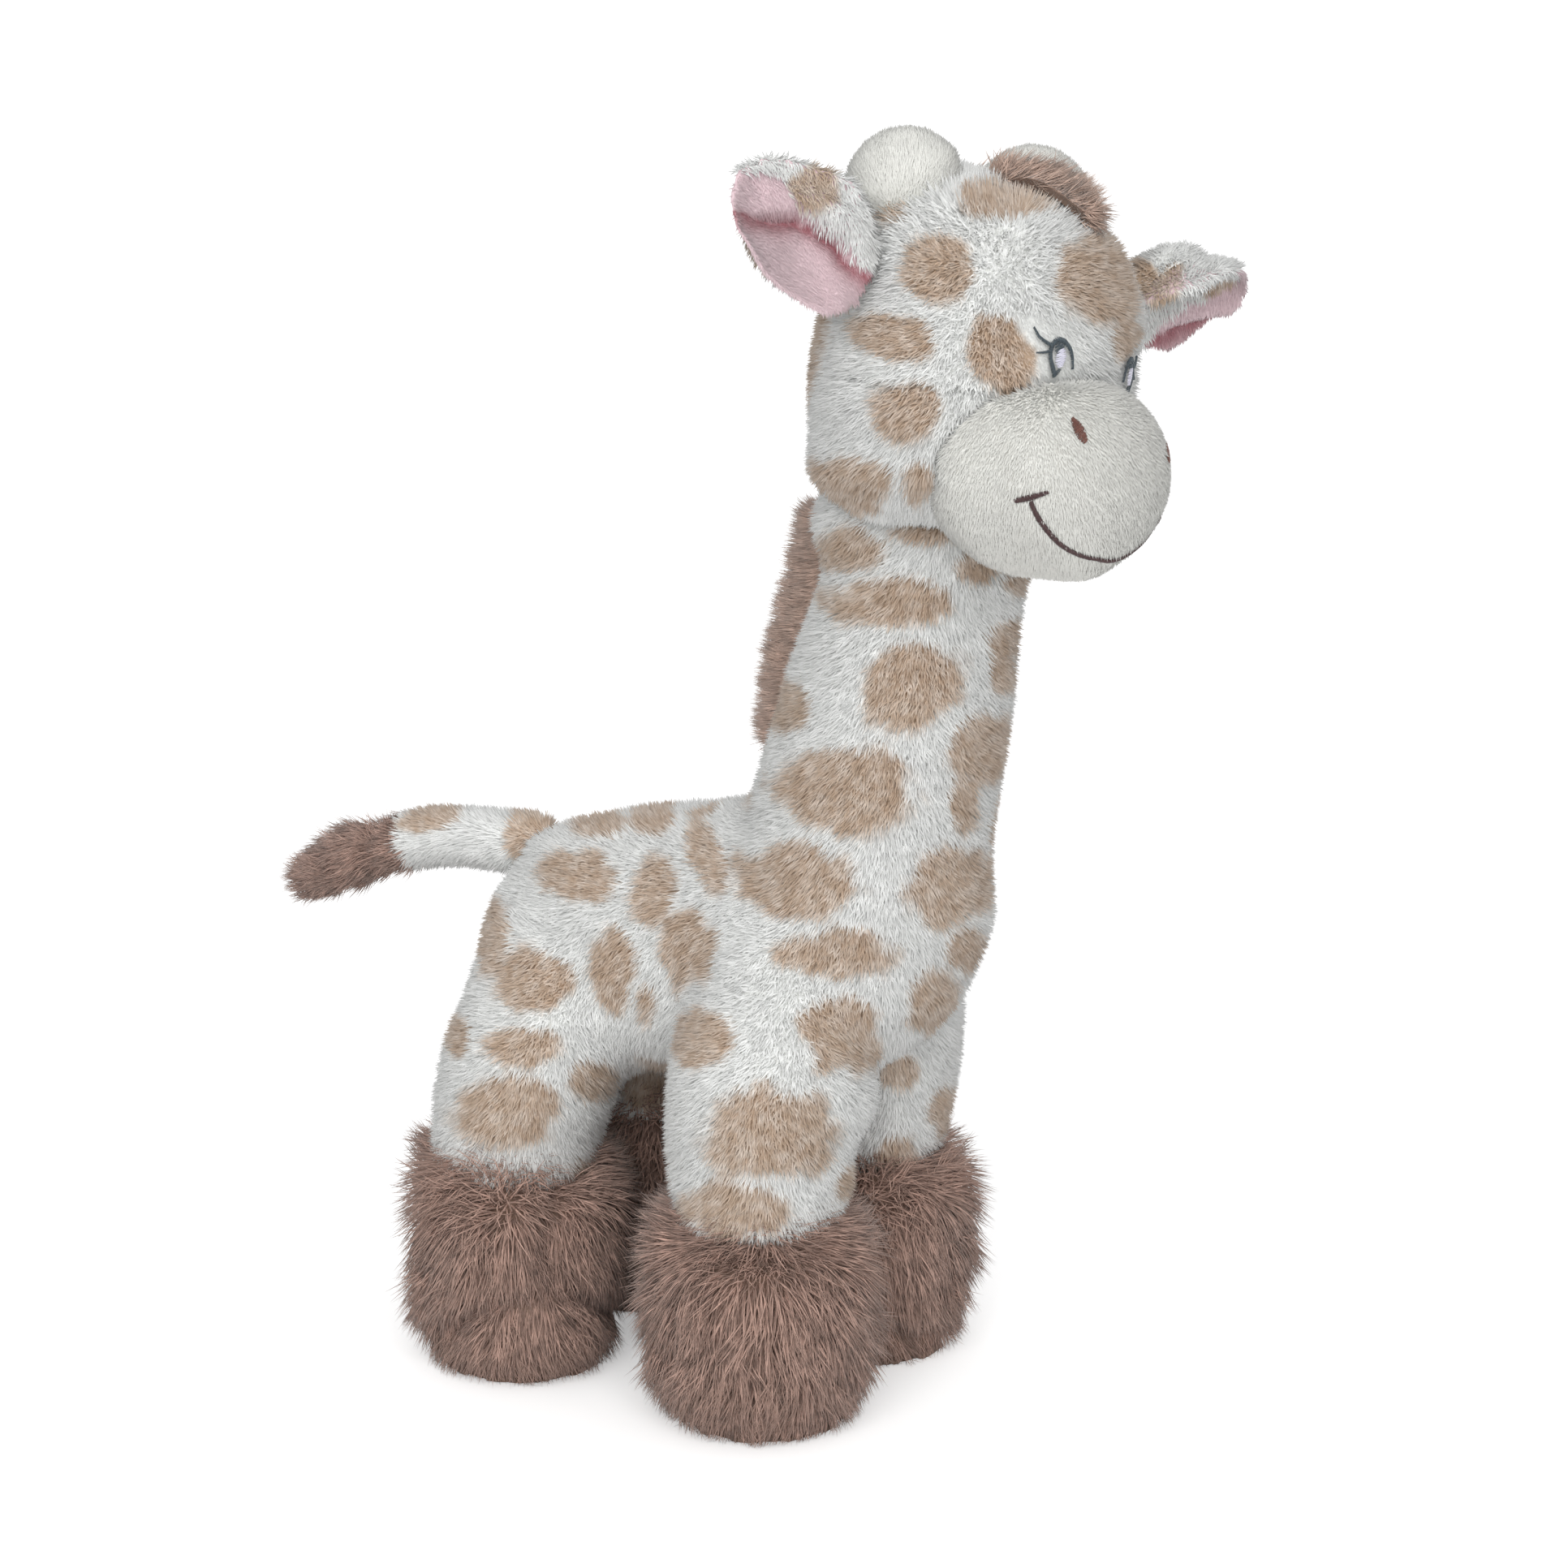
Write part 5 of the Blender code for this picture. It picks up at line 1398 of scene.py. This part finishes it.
EAR_FUR = {"right": (NEAR_EAR_FUR, NEAR_EAR_PATCHES), "left": (FAR_EAR_FUR, FAR_EAR_PATCHES)}
for side in ("right", "left"):
    back, lining = ear_backs[side], ear_linings[side]
    front, gap, over = ear_folds[side]
    outline, patches = EAR_FUR[side]
    points, normals = points_of(back.data), normals_of(back.data)
    behind = eased(-(normals @ front), 0.3, 0.7)
    if side == "right":
        rim_gap, _ = nearest_of(pixels(points), along_pixels(NEAR_EAR_OUTLINE))
        behind *= eased(rim_gap, 0, EAR_RIM)
    grow_pile(f"{side}_ear_pile", back, SMALL_FIBRE, EAR_DENSITY,
              tangent(normals, (0, 0, -1)), SPOTTED_PILE, f"{side}_ear",
              grow=behind, length=0.85, lean=1.0,
              seed=81)
    points, normals = points_of(lining.data), normals_of(lining.data)
    rolled = inside_outline(pixels(points), outline).astype(float)
    faces_out = eased(normals @ front, 0.0, 0.3)
    dye_patches(lining, patches, False, 16)
    grow_pile(f"{side}_ear_roll_pile", lining, SMALL_FIBRE, ROLL_DENSITIES[side],
              tangent(normals, (0, 0, -1)), SPOTTED_PILE, f"{side}_ear",
              grow=rolled, length=0.8, lean=1.0, seed=82)
    # Painted shade: the lining's colour darkens along the crease, most below it where the roll above
    # shades it, and the pink materials turn darker there.
    shade_width = np.where(over, CREASE_SHADE_WIDTHS[1], CREASE_SHADE_WIDTHS[0])
    strength = np.where(over, CREASE_SHADE_ABOVE, CREASE_SHADE_BELOW)
    deep = np.exp(-(gap / shade_width) ** 2) * strength
    set_attribute(lining.data, "dye_and_crease_shade", deep * eased(rolled, 1.0, 0.5))
    grow_pile(f"{side}_ear_nap", lining, NAP_FIBRE, EAR_NAP_DENSITY,
              tangent(normals, (0, 0, -1)), PINK_PILE, f"{side}_ear",
              grow=(1 - rolled) * faces_out, length=0.8, lean=1.5,
              seed=83)

# Soles

for foot in BOOTS:
    sole = NODES[f"{foot}_sole"]
    sole.data.materials.clear()
    sole.data.materials.append(SOLE_CLOTH)

# Studio

FLOOR_RADIUS = 12
FLOOR_SIDES = 64
WORLD_LIGHT = 0.62
FLOOR_GLOW = 0.37
SUN_LIGHT = 1.75
SUN_ANGLE = math.radians(50)
SUN_ASIDE = 0.05
SUN_RAISED = 0.4


def build_studio():
    world = bpy.data.worlds.new("studio")
    SCENE.world = world
    world.use_nodes = True
    tree = world.node_tree
    tree.nodes.clear()
    path = node(tree, "ShaderNodeLightPath").outputs
    seen = node(tree, "ShaderNodeMath", {0: path["Is Camera Ray"], 1: path["Is Glossy Ray"]},
                operation="ADD")
    seen = node(tree, "ShaderNodeMath", {0: seen.outputs[0], 1: path["Is Transmission Ray"]},
                operation="ADD", use_clamp=True)
    strength = node(tree, "ShaderNodeMapRange", {
        "Value": seen.outputs[0], "To Min": WORLD_LIGHT, "To Max": 1.0,
    })
    sky = node(tree, "ShaderNodeBackground", {
        "Color": colour("#ffffff"), "Strength": strength.outputs[0],
    })
    node(tree, "ShaderNodeOutputWorld", {"Surface": sky.outputs[0]})

    mesh = bpy.data.meshes.new("floor")
    shape = bmesh.new()
    bmesh.ops.create_circle(shape, cap_ends=True, segments=FLOOR_SIDES, radius=FLOOR_RADIUS)
    shape.to_mesh(mesh)
    shape.free()
    floor = bpy.data.objects.new("floor", mesh)
    SCENE.collection.objects.link(floor)
    material, tree = blank_material("white_seamless_paper")
    path = node(tree, "ShaderNodeLightPath").outputs
    paper = node(tree, "ShaderNodeBsdfDiffuse", {"Color": colour("#f4f4f4")})
    bright = node(tree, "ShaderNodeMath", {0: path["Is Camera Ray"], 1: FLOOR_GLOW},
                  operation="MULTIPLY")
    glow = node(tree, "ShaderNodeEmission", {
        "Color": colour("#ffffff"), "Strength": bright.outputs[0],
    })
    both = node(tree, "ShaderNodeAddShader", {0: paper.outputs[0], 1: glow.outputs[0]})
    node(tree, "ShaderNodeOutputMaterial", {"Surface": both.outputs[0]})
    mesh.materials.append(material)

    lamp = bpy.data.lights.new("sun", "SUN")
    lamp.energy = SUN_LIGHT
    lamp.angle = SUN_ANGLE
    sun = bpy.data.objects.new("sun", lamp)
    towards = Vector(BACK - SUN_ASIDE * RIGHT + SUN_RAISED * np.array((0, 0, 1.0)))
    sun.rotation_euler = towards.to_track_quat("Z", "Y").to_euler()
    SCENE.collection.objects.link(sun)


build_studio()
place_camera()
SCENE.view_settings.view_transform = "Standard"
